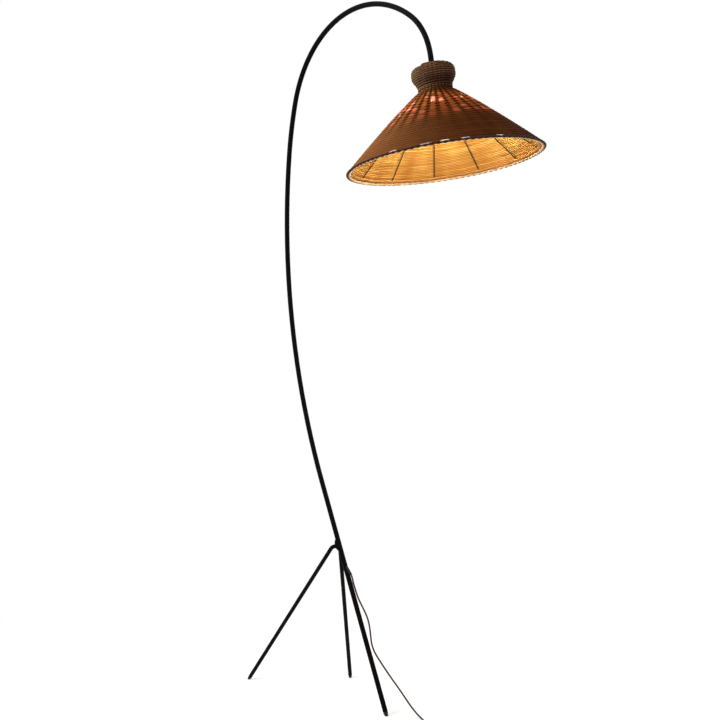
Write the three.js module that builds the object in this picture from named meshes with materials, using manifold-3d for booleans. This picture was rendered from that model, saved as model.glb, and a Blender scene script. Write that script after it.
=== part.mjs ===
// An arched floor lamp: a bent steel pole on three legs holds a woven rattan shade over a bulb.
// Millimetres, +Z up. The arch lies in the XZ plane and reaches towards +X.
import * as THREE from "three";
import { mergeVertices } from "three/addons/utils/BufferGeometryUtils.js";
import Module from "manifold-3d";

const wasm = await Module();
wasm.setup();

// Shared values
const GAP = 0.3; // between two pieces that seat on each other
const OVERRUN = 20; // how far a cutting shape runs past what it cuts
const MERGE = 1e-4; // two corners nearer than this are one
const BEND_STEP = 12; // the most degrees of a bend that one facet covers
const SAG = 0.7; // the most that a facet may stand off a wide bend
const LATHE_SIDES = 24;
const SHADE_SIDES = 48;

// Pole: it rises from the front foot in one straight run, bows back and hooks over at the top
const POLE = { outer: 12, bore: 8, sides: 12 };
const POLE_FOOT_X = 184; // the front foot, ahead of the place where the legs meet
const POLE_LEAN = 114.8; // heading of the front leg above +X, in degrees
const POLE_STRAIGHT = 580;
const POLE_BENDS = [
  { radius: 1478, degrees: 32 },
  { radius: 783, degrees: 9 },
  { radius: 280, degrees: 105.1 },
];
const CROOK_RADIUS = 140; // the last bend, whose sweep brings the end in line with the shade
const CROOK_RUN = 14; // straight run from the crook to the top of the knob
const POLE_IN_KNOB = 30; // straight run inside the knob, into the lampholder
const SHADE_TILT = 12.4; // degrees from upright, the top leaning back

// Rear legs: one tube bent like a hairpin, its bend welded to the back of the pole
const REAR = { outer: 10, bore: 6, sides: 12, bend: 12 };
const REAR_FEET = { left: [-222.7, -111.4], back: [-63.5, 94.7] };
const REAR_JOINT = 420; // from the front foot along the pole to the weld
const WELD = { wide: 4.6, deep: 5.2, long: 15, aside: 5.4, sides: 14, rings: 10 };

// Foot tips: plugs with a tapered head, cut flat by the floor
const TIP = { head: 10, seat: 12, chamfer: 0.6, narrowShare: 0.66 };

// Cable outlet: a rubber bush that leaves the front of the pole at a shallow angle
const OUTLET = { along: 370, angle: 25, length: 24, buried: 7, wall: 1.1, narrowing: 0.5 };
const CORD = { radius: 2.1, sides: 8, bend: 18 };

// Shade: a woven cone, a short collar and a woven knob on one axis. All heights on this axis
// are measured up from the waist, where the knob begins.
const SHADE = { rim: 214, slope: 49, waist: 38.5, collar: 5.2, seam: -2.5 };
const KNOB = { radius: 49, widest: 27.5, top: 58.9, wall: 4.5, clearance: 0.5, steps: 6 };
const WEAVE = 2;
const STAKES = { count: 32, radius: 1.3, sides: 5 };
const BORDER = { inset: 3.4, wide: 5.5, deep: 3, sides: 8 };

// Wire frame inside the shade
const RIB = { count: 12, phase: 24, radius: 1.25, sides: 6, bend: 4 };
const RIM_WIRE = 1.8;
const NECK_HEIGHT = 0.7;
const CARRIER = { thick: 1.6, ring: 5.3, arm: 6, arms: 3 };

// Lampholder, on the shade's axis
const HOLDER = { mouth: -19.5, top: 10.5, radius: 19.7, wall: 2.5, flange: 2.8, flangeThick: 3 };
const CAP = { rise: 12, dome: 8, neck: 10, neckWall: 3, wall: 2.5 };
const LOCK_NUT = { wall: 2, thick: 4, sides: 6 };
const SHADE_RING = { wall: 6.3, thick: 7 };
const SCREW_SHELL = { bottom: -15.5, top: 6.3, wall: 0.85, clearance: 0.35 };
const INSERT_BOTTOM = -17.5;
const CONTACT = { radius: 4, thick: 1 };

// Bulb
const BULB = { radius: 30, bottom: -104.5, neckRun: 5, wall: 1 };
const BULB_FACE = { shoulder: 35, steps: 8, neckSteps: 4 };
const BULB_HANDLE_SHARES = { low: 0.45, high: 0.5 };
const BULB_CAP = { radius: 13.1, bottom: -18.2, cone: 2, coneTop: 2.5, small: 6, lap: 0.2 };
const BULB_TIP = { radius: 4.5, thick: 2 };

// Coil of the spare cord and the tie round it, on the floor ahead of the front foot
const COIL = { x: 300, y: 0, middle: 25.2, spacing: 0.55, turns: 3.25, steps: 24, sides: 6 };
const TIE = { thick: 0.8, wide: 5, angle: 20, slack: 0.5 };

// In-line switch, lying across the cord's way with its length along -Y
const SWITCH = { x: 362, y: -48, length: 60, width: 24, height: 16, end: 11, seam: 8, chamfer: 1.2 };
const ROCKER = { half: 8.5, wide: 8, rise: 4.6, dish: 3.4, drop: 1.2, throw: 8, pivot: 12.6 };
const STUB = { radius: 1.2, length: 1.6, sides: 10 };
const SCREW = { x: 19, y: 7.4, head: 2.6, headThick: 1.8, shank: 1.4, bite: 4, sides: 12 };

// Plug: a flat body with two round pins
const PLUG = { x: 309, y: -117, length: 34, width: 35, back: 14, height: 13.7, flare: 9, chamfer: 1.5 };
const PIN = { radius: 2, length: 19, spacing: 18.6, seated: 6, round: 0.8, sides: 12 };
const RELIEF = { length: 24, wide: 4.4, narrow: 3 };

// The cord's route from the bush to the coil, then from the coil to the switch and on to the plug.
// Each list leaves out its ends, which are worked out from the pieces that it joins.
const DROP_ROUTE = [
  [57.1, 2.2, 299.4], [64.0, 4.1, 280.5], [72.3, 5.7, 261.2], [83.4, 9.2, 242.1],
  [93.5, 12.5, 224.8], [101.8, 13.9, 207.7], [109.0, 12.4, 189.0], [114.4, 10.3, 172.7],
  [119.5, 8.6, 157.5], [124.9, 8.8, 146.6], [131.3, 10.4, 136.0], [139.5, 13.7, 124.3],
  [148.8, 17.6, 111.3], [159.5, 22.5, 96.6], [171.4, 28.4, 80.1], [184.1, 35.1, 62.9],
  [197.0, 41.4, 45.0], [210.5, 46.8, 27.6], [225.5, 50.4, 13.2], [242.0, 50.6, 4.8],
  [258.5, 47.0, 2.6], [273.5, 40.4, 2.4], [284.5, 35.6, 2.8],
];
const LINK_ROUTE = [
  [314.0, 33.8, 8.0], [327.0, 32.2, 6.4], [340.0, 25.6, 3.6], [351.0, 14.6, 2.8],
  [358.0, 2.4, 4.4],
];
const TAIL_ROUTE = [
  [361.6, -90.6, 5.6], [359.0, -101.6, 3.6], [352.6, -110.4, 3.4], [344.0, -115.6, 5.0],
];
const CORD_LEAD = 5; // straight run before and after each piece on the cord
const CORD_STEP_SHARE = 2.5; // diameters of cord that one step of a free stretch covers

const deg = THREE.MathUtils.degToRad;
const vec = (x, y, z) => new THREE.Vector3(x, y, z);
const UP = vec(0, 0, 1);
const ASIDE = vec(0, 1, 0);
const slant = Math.tan(deg(SHADE.slope));

// The radius of a faceted bore's corners, so that its flats stand at the radius asked for.
const boreOf = (radius, sides) => radius / Math.cos(Math.PI / sides);

// A path of straight runs and round bends. Its parameter counts steps, not length:
// a straight run is one step, and a bend has as many as its sweep and radius need.
class Route extends THREE.Curve {
  constructor(start, heading) {
    super();
    this.tip = start.clone();
    this.heading = heading.clone().normalize();
    this.pieces = [];
    this.steps = 0;
  }

  push(steps, point, tangent) {
    this.pieces.push({ first: this.steps, steps, point, tangent });
    this.steps += steps;
    this.tip = point(1);
    this.heading = tangent(1);
    return this;
  }

  run(length) {
    const from = this.tip.clone();
    const way = this.heading.clone();
    return this.push(
      1,
      (share) => from.clone().addScaledVector(way, share * length),
      () => way.clone(),
    );
  }

  bend(radius, axis, degrees) {
    const way = this.heading.clone();
    const centre = this.tip.clone().addScaledVector(axis.clone().cross(way), radius);
    const spoke = this.tip.clone().sub(centre);
    const turned = (arm, share) => arm.clone().applyAxisAngle(axis, share * deg(degrees));
    const widest = 2 * Math.acos(1 - Math.min(SAG / radius, 1));
    return this.push(
      Math.ceil(deg(degrees) / Math.min(deg(BEND_STEP), widest)),
      (share) => turned(spoke, share).add(centre),
      (share) => turned(way, share),
    );
  }

  find(t) {
    const at = t * this.steps;
    const piece = this.pieces.find((one) => at <= one.first + one.steps) ?? this.pieces.at(-1);
    return [piece, (at - piece.first) / piece.steps];
  }

  getPoint(t) {
    const [piece, share] = this.find(t);
    return piece.point(share);
  }

  getTangent(t) {
    const [piece, share] = this.find(t);
    return piece.tangent(share);
  }

  getPointAt(u) {
    return this.getPoint(u);
  }

  getTangentAt(u) {
    return this.getTangent(u);
  }
}

// Shapes and the solids made from them

function circlePoints(radius, sides) {
  return Array.from({ length: sides }, (_, side) => {
    const angle = (side / sides) * Math.PI * 2;
    return new THREE.Vector2(radius * Math.cos(angle), radius * Math.sin(angle));
  });
}

const discShape = (radius, sides) => new THREE.Shape(circlePoints(radius, sides));

function ringShape(outer, bore, sides) {
  const shape = discShape(outer, sides);
  shape.holes.push(new THREE.Path(circlePoints(boreOf(bore, sides), sides)));
  return shape;
}

const outlineShape = (points) => new THREE.Shape(points.map(([x, y]) => new THREE.Vector2(x, y)));

const sweep = (shape, path, steps = path.steps) =>
  new THREE.ExtrudeGeometry(shape, { steps, extrudePath: path, bevelEnabled: false });

const extrude = (shape, depth) => new THREE.ExtrudeGeometry(shape, { depth, bevelEnabled: false });

// A housing with a chamfer along both its faces' edges, inside its own outline and depth.
function chamferedExtrude(shape, depth, chamfer) {
  const geometry = new THREE.ExtrudeGeometry(shape, {
    depth: depth - chamfer * 2,
    bevelThickness: chamfer,
    bevelSize: chamfer,
    bevelOffset: -chamfer,
    bevelSegments: 1,
  });
  return geometry.translate(0, 0, chamfer);
}

// A profile of [radius, height] pairs turned about Z, whichever way round it is listed.
// A solid's profile starts and ends on the axis, and a hollow ring's closes on itself.
function revolve(profile, sides = LATHE_SIDES) {
  const twiceArea = profile.reduce((sum, [r, z], i) => {
    const [nextR, nextZ] = profile[(i + 1) % profile.length];
    return sum + r * nextZ - nextR * z;
  }, 0);
  const points = profile.map(([r, z]) => new THREE.Vector2(r, z));
  if (points[0].x > 0) points.push(points[0].clone());
  if (twiceArea < 0) points.reverse();
  return new THREE.LatheGeometry(points, sides).rotateX(Math.PI / 2);
}

const cylinder = (radius, from, to, sides) =>
  revolve([[0, from], [radius, from], [radius, to], [0, to]], sides);

const tubeRing = (outer, bore, from, to, sides = LATHE_SIDES) => {
  const inner = boreOf(bore, sides);
  return revolve([[inner, from], [outer, from], [outer, to], [inner, to]], sides);
};

// Joins and cuts

function solidOf(geometry) {
  const plain = geometry.index ? geometry.toNonIndexed() : geometry.clone();
  plain.deleteAttribute("normal");
  plain.deleteAttribute("uv");
  const merged = mergeVertices(plain, MERGE);
  return new wasm.Manifold(
    new wasm.Mesh({
      numProp: 3,
      vertProperties: merged.attributes.position.array,
      triVerts: new Uint32Array(merged.index.array),
    }),
  );
}

function geometryOf(solid) {
  const { vertProperties, triVerts } = solid.getMesh();
  const geometry = new THREE.BufferGeometry();
  geometry.setAttribute("position", new THREE.BufferAttribute(vertProperties, 3));
  geometry.setIndex(new THREE.BufferAttribute(triVerts, 1));
  return geometry;
}

const cut = (geometry, ...tools) =>
  geometryOf(tools.reduce((solid, tool) => solid.subtract(solidOf(tool)), solidOf(geometry)));

const join = (...geometries) =>
  geometryOf(geometries.map(solidOf).reduce((whole, one) => whole.add(one)));

// Finishes
const finish = (color, roughness, metalness = 0) => ({ color, roughness, metalness });
const FINISHES = {
  blackMetal: finish(0x141313, 0.45, 0.6),
  steel: finish(0x9a9c9e, 0.35, 0.9),
  brass: finish(0xb8944a, 0.35, 0.9),
  rubber: finish(0x161616, 0.8),
  blackPlastic: finish(0x1a1a1b, 0.5),
  ceramic: finish(0xe8e4da, 0.4),
  opal: finish(0xfff2d8, 0.3),
  darkWire: finish(0x2c1a10, 0.6, 0.4),
  rattan: finish(0x6b4426, 0.75),
  oliveRattan: finish(0x544228, 0.8),
  darkRattan: finish(0x3a2012, 0.8),
  cord: finish(0x2a1d18, 0.7),
};

function piece(name, geometry, kind) {
  geometry.computeVertexNormals();
  const mesh = new THREE.Mesh(geometry, new THREE.MeshStandardMaterial(FINISHES[kind]));
  mesh.name = name;
  return mesh;
}

function groupOf(...members) {
  const group = new THREE.Group();
  group.add(...members.flat());
  return group;
}

// Stand

// A point on the front leg's axis, the way up the leg, and the way out from its upper side.
function onFrontLeg(distance) {
  const up = vec(Math.cos(deg(POLE_LEAN)), 0, Math.sin(deg(POLE_LEAN)));
  const outward = ASIDE.clone().cross(up);
  return { point: vec(POLE_FOOT_X, 0, 0).addScaledVector(up, distance), up, outward };
}

// The pole's axis from a place on the front leg to its end in the lampholder, and `past` beyond it.
function poleRoute(from, past = 0) {
  const { point, up } = onFrontLeg(from);
  const route = new Route(point, up).run(POLE_STRAIGHT - from);
  for (const { radius, degrees } of POLE_BENDS) route.bend(radius, ASIDE, degrees);
  const swept = POLE_BENDS.reduce((sum, bend) => sum + bend.degrees, 0);
  route.bend(CROOK_RADIUS, ASIDE, POLE_LEAN + 90 - SHADE_TILT - swept);
  return route.run(CROOK_RUN + POLE_IN_KNOB + past);
}

// The hairpin's corner lies above its bend, so that the bend's crown touches the pole's back.
function rearRoute(from) {
  const { point, outward } = onFrontLeg(REAR_JOINT);
  const crown = point.addScaledVector(outward, -(POLE.outer + REAR.outer) / 2 - GAP);
  const [left, back] = [REAR_FEET.left, REAR_FEET.back].map(([x, y]) => vec(x, y, 0));
  const toLeft = left.clone().sub(crown).normalize();
  const toBack = back.clone().sub(crown).normalize();
  const half = toLeft.angleTo(toBack) / 2;
  const upward = toLeft.add(toBack).normalize().negate();
  const corner = crown.addScaledVector(upward, REAR.bend / Math.sin(half) - REAR.bend);
  const rise = corner.clone().sub(left);
  const fall = back.clone().sub(corner);
  const turn = rise.angleTo(fall);
  const tangent = REAR.bend * Math.tan(turn / 2);
  const axis = rise.clone().cross(fall).normalize();
  return new Route(left.addScaledVector(rise.clone().normalize(), from), rise)
    .run(rise.length() - tangent - from)
    .bend(REAR.bend, axis, THREE.MathUtils.radToDeg(turn))
    .run(fall.length() - tangent - from);
}

const bushRadius = CORD.radius + GAP + OUTLET.wall;

// The bush's axis, from its buried end outwards.
function outletAxis() {
  const { point, up } = onFrontLeg(OUTLET.along);
  const way = up.clone().negate().applyAxisAngle(ASIDE, -deg(OUTLET.angle));
  const toSurface = POLE.outer / 2 / Math.sin(deg(OUTLET.angle));
  const start = point.clone().addScaledVector(way, toSurface - OUTLET.buried);
  const end = start.clone().addScaledVector(way, OUTLET.length);
  return { crossing: point, way, start, end };
}

// A solid along Z moved so that Z points along a direction from a place.
function aim(geometry, place, way) {
  const turn = new THREE.Quaternion().setFromUnitVectors(UP, way.clone().normalize());
  return geometry.applyQuaternion(turn).translate(place.x, place.y, place.z);
}

function pole() {
  const tube = sweep(ringShape(POLE.outer / 2, POLE.bore / 2, POLE.sides), poleRoute(TIP.head));
  const { crossing, start, way } = outletAxis();
  const slot = cylinder(boreOf(bushRadius + GAP, LATHE_SIDES), -GAP, OUTLET.length, LATHE_SIDES);
  const passage = cylinder(boreOf(CORD.radius + GAP, CORD.sides), 0, OUTLET.length, CORD.sides);
  const shape = cut(tube, aim(slot, start, way), aim(passage, crossing, way));
  return piece("pole", shape, "blackMetal");
}

function rearLegs() {
  const tube = ringShape(REAR.outer / 2, REAR.bore / 2, REAR.sides);
  return piece("rear_legs", sweep(tube, rearRoute(TIP.head)), "blackMetal");
}

// Two beads of weld metal fill the grooves between the hairpin's crown and the pole.
function weldBead(name, side) {
  const { point, up, outward } = onFrontLeg(REAR_JOINT);
  const centre = point.clone().addScaledVector(outward, -(POLE.outer / 2 + GAP));
  centre.addScaledVector(ASIDE, side * WELD.aside);
  const bead = new THREE.SphereGeometry(1, WELD.sides, WELD.rings).scale(WELD.deep, WELD.wide, WELD.long);
  bead.applyMatrix4(new THREE.Matrix4().makeBasis(outward, ASIDE, up).setPosition(centre));
  const around = ({ outer, sides }) => discShape(boreOf(outer / 2 + GAP, sides), sides);
  const shape = cut(
    bead,
    sweep(around(POLE), poleRoute(TIP.head)),
    sweep(around(REAR), rearRoute(TIP.head)),
  );
  return piece(name, shape, "blackMetal");
}

// A foot tip: its spigot plugs the tube's end, and its tapered head is cut flat by the floor.
function footTip(name, foot, up, tube) {
  const radius = tube.outer / 2;
  const narrow = radius * TIP.narrowShare;
  const spigot = tube.bore / 2 - GAP;
  const head = TIP.head - GAP;
  const profile = [
    [0, -TIP.head],
    [narrow, -TIP.head],
    [narrow, 0],
    [radius, head - TIP.chamfer],
    [radius - TIP.chamfer, head],
    [spigot, head],
    [spigot, TIP.head + TIP.seat],
    [0, TIP.head + TIP.seat],
  ];
  const below = new THREE.BoxGeometry(OVERRUN * 2, OVERRUN * 2, OVERRUN);
  below.translate(foot.x, foot.y, -OVERRUN / 2);
  return piece(name, cut(aim(revolve(profile, tube.sides), foot, up), below), "rubber");
}

function footTips() {
  const rear = rearRoute(0);
  const { point, up } = onFrontLeg(0);
  return [
    footTip("foot_front", point, up, POLE),
    footTip("foot_left", rear.getPoint(0), rear.getTangent(0), REAR),
    footTip("foot_back", rear.getPoint(1), rear.getTangent(1).negate(), REAR),
  ];
}

function cableBush() {
  const { start, way } = outletAxis();
  const bore = boreOf(CORD.radius + GAP, LATHE_SIDES / 2);
  const profile = [
    [bore, 0],
    [bushRadius, 0],
    [bushRadius, OUTLET.buried],
    [bushRadius - OUTLET.narrowing, OUTLET.length],
    [bore, OUTLET.length],
  ];
  return piece("cable_bush", aim(revolve(profile, LATHE_SIDES / 2), start, way), "rubber");
}

// The lead's inner stretch: in through the bush, up the pole's bore and into the lampholder.
function innerCable() {
  const { crossing, way, end } = outletAxis();
  const tangent = CORD.bend * Math.tan(deg(OUTLET.angle) / 2);
  const inward = way.clone().negate();
  const route = new Route(end, inward).run(end.distanceTo(crossing) - tangent);
  route.bend(CORD.bend, ASIDE, OUTLET.angle);
  const upper = poleRoute(OUTLET.along + tangent, KNOB.top - POLE_IN_KNOB - HOLDER.top);
  for (const leg of upper.pieces) route.push(leg.steps, leg.point, leg.tangent);
  return piece("inner_cable", sweep(discShape(CORD.radius, CORD.sides), route), "cord");
}

// Shade

// The rim hangs below the waist by the cone's own depth and its collar.
const rimHeight = (SHADE.waist - SHADE.rim) / slant - SHADE.collar;

// The weave's outer face: a straight cone, measured inwards by a depth square to it.
const coneRadius = (height, depth = 0) =>
  SHADE.rim - (height - rimHeight) * slant - depth / Math.cos(deg(SHADE.slope));
const coneHeight = (radius, depth) => rimHeight + (coneRadius(rimHeight, depth) - radius) / slant;

const SKIN_DEPTH = STAKES.radius * 2 + GAP;
const RIB_DEPTH = SKIN_DEPTH + WEAVE + GAP * 2 + RIB.radius;

function coneWeave() {
  const outerWaist = SHADE.waist - SKIN_DEPTH;
  const innerWaist = boreOf(outerWaist - WEAVE, SHADE_SIDES);
  const innerDepth = SKIN_DEPTH + WEAVE;
  const profile = [
    [coneRadius(rimHeight, SKIN_DEPTH), rimHeight],
    [outerWaist, coneHeight(outerWaist, SKIN_DEPTH)],
    [outerWaist, SHADE.seam],
    [innerWaist, SHADE.seam],
    [innerWaist, coneHeight(innerWaist, innerDepth)],
    [boreOf(coneRadius(rimHeight, innerDepth), SHADE_SIDES), rimHeight],
  ];
  return piece("cone_weave", revolve(profile, SHADE_SIDES), "rattan");
}

// One face of the knob: it swells from the waist in a cosine and closes over in half an ellipse.
function knobFace(depth, steps) {
  const radius = KNOB.radius - depth;
  const waist = SHADE.waist - depth;
  const crown = KNOB.top - depth - KNOB.widest;
  const last = Math.acos((POLE.outer / 2 + KNOB.clearance) / radius);
  const lower = Array.from({ length: steps }, (_, i) => {
    const swell = (1 - Math.cos((Math.PI * i) / steps)) / 2;
    return [waist + (radius - waist) * swell, (KNOB.widest * i) / steps];
  });
  const upper = Array.from({ length: steps + 1 }, (_, i) => {
    const angle = (last * i) / steps;
    return [radius * Math.cos(angle), KNOB.widest + crown * Math.sin(angle)];
  });
  return [[waist, SHADE.seam + GAP], ...lower, ...upper];
}

function knobWeave() {
  const profile = [...knobFace(0, KNOB.steps), ...knobFace(KNOB.wall, KNOB.steps / 2).reverse()];
  return piece("knob_weave", revolve(profile), "oliveRattan");
}

// Upright stakes lie over the cone and end under a collar at the waist, which joins them.
function stakeCage() {
  const collarBottom = coneHeight(SHADE.waist - SKIN_DEPTH, SKIN_DEPTH) + GAP;
  const collar = tubeRing(SHADE.waist, SHADE.waist - SKIN_DEPTH + GAP, collarBottom, SHADE.seam);
  const low = rimHeight + STAKES.radius * Math.sin(deg(SHADE.slope));
  const high = collarBottom + STAKES.radius / 2;
  const foot = vec(coneRadius(low, STAKES.radius), 0, low);
  const head = vec(coneRadius(high, STAKES.radius), 0, high);
  const stakes = Array.from({ length: STAKES.count }, (_, i) => {
    const stake = cylinder(STAKES.radius, 0, foot.distanceTo(head), STAKES.sides);
    return aim(stake, foot, head.clone().sub(foot)).rotateZ((i / STAKES.count) * Math.PI * 2);
  });
  return piece("stake_cage", join(collar, ...stakes), "darkRattan");
}

// The border that binds the rim is an oval ring, flush with the stakes' outer side.
function rimBorder() {
  const oval = circlePoints(1, BORDER.sides).map(({ x, y }) => [
    SHADE.rim - BORDER.inset + BORDER.wide * x,
    rimHeight - GAP - BORDER.deep + BORDER.deep * y,
  ]);
  return piece("rim_border", revolve(oval, SHADE_SIDES), "darkRattan");
}

// Wire frame

const rimRingDepth = SKIN_DEPTH + WEAVE + GAP + RIM_WIRE;

function rimRing() {
  const height = rimHeight + RIM_WIRE + GAP;
  const radius = coneRadius(height, rimRingDepth);
  const ring = new THREE.TorusGeometry(radius, RIM_WIRE, RIB.sides, SHADE_SIDES).translate(0, 0, height);
  return piece("rim_ring", ring, "darkWire");
}

const neckRadius = SHADE.waist - RIB_DEPTH;

function neckRing() {
  const ring = new THREE.TorusGeometry(neckRadius, RIB.radius, RIB.sides, LATHE_SIDES);
  return piece("neck_ring", ring.translate(0, 0, NECK_HEIGHT), "darkWire");
}

// A rib drops from the neck ring, bends at the waist and follows the cone down to the rim ring.
function rib(index) {
  const top = vec(neckRadius, 0, NECK_HEIGHT - RIB.radius - GAP);
  const corner = vec(neckRadius, 0, coneHeight(neckRadius, RIB_DEPTH));
  const footHeight = rimHeight + RIM_WIRE * 2 + GAP * 2;
  const foot = vec(coneRadius(footHeight, RIB_DEPTH), 0, footHeight);
  const tangent = RIB.bend * Math.tan(deg(SHADE.slope) / 2);
  const route = new Route(top, UP.clone().negate())
    .run(top.distanceTo(corner) - tangent)
    .bend(RIB.bend, ASIDE.clone().negate(), SHADE.slope)
    .run(corner.distanceTo(foot) - tangent);
  const wire = sweep(discShape(RIB.radius, RIB.sides), route);
  wire.rotateZ(deg(RIB.phase + (index * 360) / RIB.count));
  return piece(`rib_${String(index + 1).padStart(2, "0")}`, wire, "darkWire");
}

// A flat ring that the lampholder's ring clamps, with arms out to the neck ring.
function shadeCarrier() {
  const within = (neckRadius - RIB.radius) * Math.cos(Math.PI / LATHE_SIDES) - GAP;
  const reach = Math.sqrt(within ** 2 - (CARRIER.arm / 2) ** 2);
  const outer = HOLDER.radius + CARRIER.ring;
  const middle = HOLDER.radius + CARRIER.ring / 2;
  const plate = extrude(ringShape(outer, HOLDER.radius + GAP, LATHE_SIDES), CARRIER.thick);
  const arms = Array.from({ length: CARRIER.arms }, (_, i) => {
    const arm = new THREE.BoxGeometry(reach - middle, CARRIER.arm, CARRIER.thick);
    arm.translate((reach + middle) / 2, 0, CARRIER.thick / 2);
    return arm.rotateZ(deg(RIB.phase + (i * 360) / CARRIER.arms));
  });
  const shape = join(plate, ...arms).translate(0, 0, NECK_HEIGHT - CARRIER.thick / 2);
  return piece("shade_carrier", shape, "blackMetal");
}

// Lampholder

function holderCap() {
  const neckBottom = HOLDER.top + CAP.rise + CAP.dome;
  const bore = boreOf(POLE.outer / 2 + GAP, LATHE_SIDES);
  const profile = [
    [HOLDER.radius, HOLDER.top + GAP],
    [HOLDER.radius, HOLDER.top + CAP.rise],
    [POLE.outer / 2 + CAP.neckWall, neckBottom],
    [POLE.outer / 2 + CAP.neckWall, neckBottom + CAP.neck],
    [bore, neckBottom + CAP.neck],
    [bore, neckBottom - CAP.wall],
    [HOLDER.radius - CAP.wall, HOLDER.top + CAP.rise - CAP.wall],
    [HOLDER.radius - CAP.wall, HOLDER.top + GAP],
  ];
  return piece("holder_cap", revolve(profile), "blackPlastic");
}

function holderSkirt() {
  const flangeBottom = NECK_HEIGHT + CARRIER.thick / 2 + GAP;
  const flangeTop = flangeBottom + HOLDER.flangeThick;
  const bore = boreOf(HOLDER.radius - HOLDER.wall, LATHE_SIDES);
  const profile = [
    [HOLDER.radius, HOLDER.mouth],
    [HOLDER.radius, flangeBottom],
    [HOLDER.radius + HOLDER.flange, flangeBottom],
    [HOLDER.radius + HOLDER.flange, flangeTop],
    [HOLDER.radius, flangeTop],
    [HOLDER.radius, HOLDER.top],
    [bore, HOLDER.top],
    [bore, HOLDER.mouth],
  ];
  return piece("holder_skirt", revolve(profile), "blackPlastic");
}

const shellBore = BULB_CAP.radius + SCREW_SHELL.clearance;

function holderInsert() {
  const radius = HOLDER.radius - HOLDER.wall - GAP;
  const wallBore = boreOf(shellBore + SCREW_SHELL.wall + GAP, LATHE_SIDES);
  const roof = SCREW_SHELL.top + GAP;
  const profile = [
    [0, roof],
    [wallBore, roof],
    [wallBore, INSERT_BOTTOM],
    [radius, INSERT_BOTTOM],
    [radius, HOLDER.top - GAP],
    [0, HOLDER.top - GAP],
  ];
  return piece("holder_insert", revolve(profile), "ceramic");
}

function screwShell() {
  const { wall, bottom, top } = SCREW_SHELL;
  return piece("screw_shell", tubeRing(shellBore + wall, shellBore, bottom, top), "brass");
}

function centreContact() {
  const top = SCREW_SHELL.top;
  const disc = cylinder(CONTACT.radius, top - CONTACT.thick, top);
  return piece("centre_contact", disc, "brass");
}

function shadeRing() {
  const top = NECK_HEIGHT - CARRIER.thick / 2 - GAP;
  const outer = HOLDER.radius + SHADE_RING.wall;
  const ring = tubeRing(outer, HOLDER.radius + GAP, top - SHADE_RING.thick, top);
  return piece("shade_ring", ring, "blackPlastic");
}

function lockNut() {
  const shape = discShape(boreOf(POLE.outer / 2 + LOCK_NUT.wall, LOCK_NUT.sides), LOCK_NUT.sides);
  const bore = boreOf(POLE.outer / 2 + GAP, LATHE_SIDES);
  shape.holes.push(new THREE.Path(circlePoints(bore, LATHE_SIDES)));
  const seat = HOLDER.top + CAP.rise + CAP.dome + CAP.neck + GAP;
  const nut = extrude(shape, LOCK_NUT.thick).translate(0, 0, seat);
  return piece("lock_nut", nut, "steel");
}

// Bulb: a round envelope whose shoulder runs up into a straight neck

function bulbFace(inset) {
  const radius = BULB.radius - inset;
  const centre = BULB.bottom + BULB.radius;
  const neck = BULB_CAP.radius - BULB_CAP.lap - inset;
  const neckTop = BULB_CAP.bottom - GAP;
  const neckStart = neckTop - BULB.neckRun;
  const shoulder = deg(BULB_FACE.shoulder);
  const low = new THREE.Vector2(
    radius * Math.cos(shoulder),
    centre + radius * Math.sin(shoulder),
  );
  const climb = neckStart - low.y;
  const lowHandle = climb * BULB_HANDLE_SHARES.low;
  const blend = new THREE.CubicBezierCurve(
    low,
    new THREE.Vector2(
      low.x - lowHandle * Math.sin(shoulder),
      low.y + lowHandle * Math.cos(shoulder),
    ),
    new THREE.Vector2(neck, neckStart - climb * BULB_HANDLE_SHARES.high),
    new THREE.Vector2(neck, neckStart),
  );
  const round = Array.from({ length: BULB_FACE.steps }, (_, i) => {
    const angle = -Math.PI / 2 + ((Math.PI / 2 + shoulder) * i) / BULB_FACE.steps;
    return [i ? radius * Math.cos(angle) : 0, centre + radius * Math.sin(angle)];
  });
  const narrowing = blend.getPoints(BULB_FACE.neckSteps).map(({ x, y }) => [x, y]);
  return [...round, ...narrowing, [neck, neckTop]];
}

function bulb() {
  const glass = revolve([...bulbFace(0), ...bulbFace(BULB.wall).reverse()]);
  const cap = revolve([
    [0, BULB_CAP.bottom],
    [BULB_CAP.radius, BULB_CAP.bottom],
    [BULB_CAP.radius, BULB_CAP.coneTop - BULB_CAP.cone],
    [BULB_CAP.small, BULB_CAP.coneTop],
    [0, BULB_CAP.coneTop],
  ]);
  const tipBottom = BULB_CAP.coneTop + GAP;
  const tip = cylinder(BULB_TIP.radius, tipBottom, tipBottom + BULB_TIP.thick);
  return [
    piece("bulb_glass", glass, "opal"),
    piece("bulb_cap", cap, "steel"),
    piece("bulb_tip", tip, "brass"),
  ];
}

// Everything on the shade's axis stands in one group, hung from the pole's end.
function head() {
  const end = poleRoute(0);
  const group = groupOf(
    coneWeave(),
    knobWeave(),
    stakeCage(),
    rimBorder(),
    rimRing(),
    neckRing(),
    Array.from({ length: RIB.count }, (_, index) => rib(index)),
    shadeCarrier(),
    holderCap(),
    holderSkirt(),
    holderInsert(),
    screwShell(),
    centreContact(),
    shadeRing(),
    lockNut(),
    bulb(),
  );
  group.position.copy(end.tip).addScaledVector(end.heading, KNOB.top - POLE_IN_KNOB);
  group.rotation.y = -deg(SHADE_TILT);
  return group;
}

// Cord

const coilPitch = CORD.radius * 2 + COIL.spacing;

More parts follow.
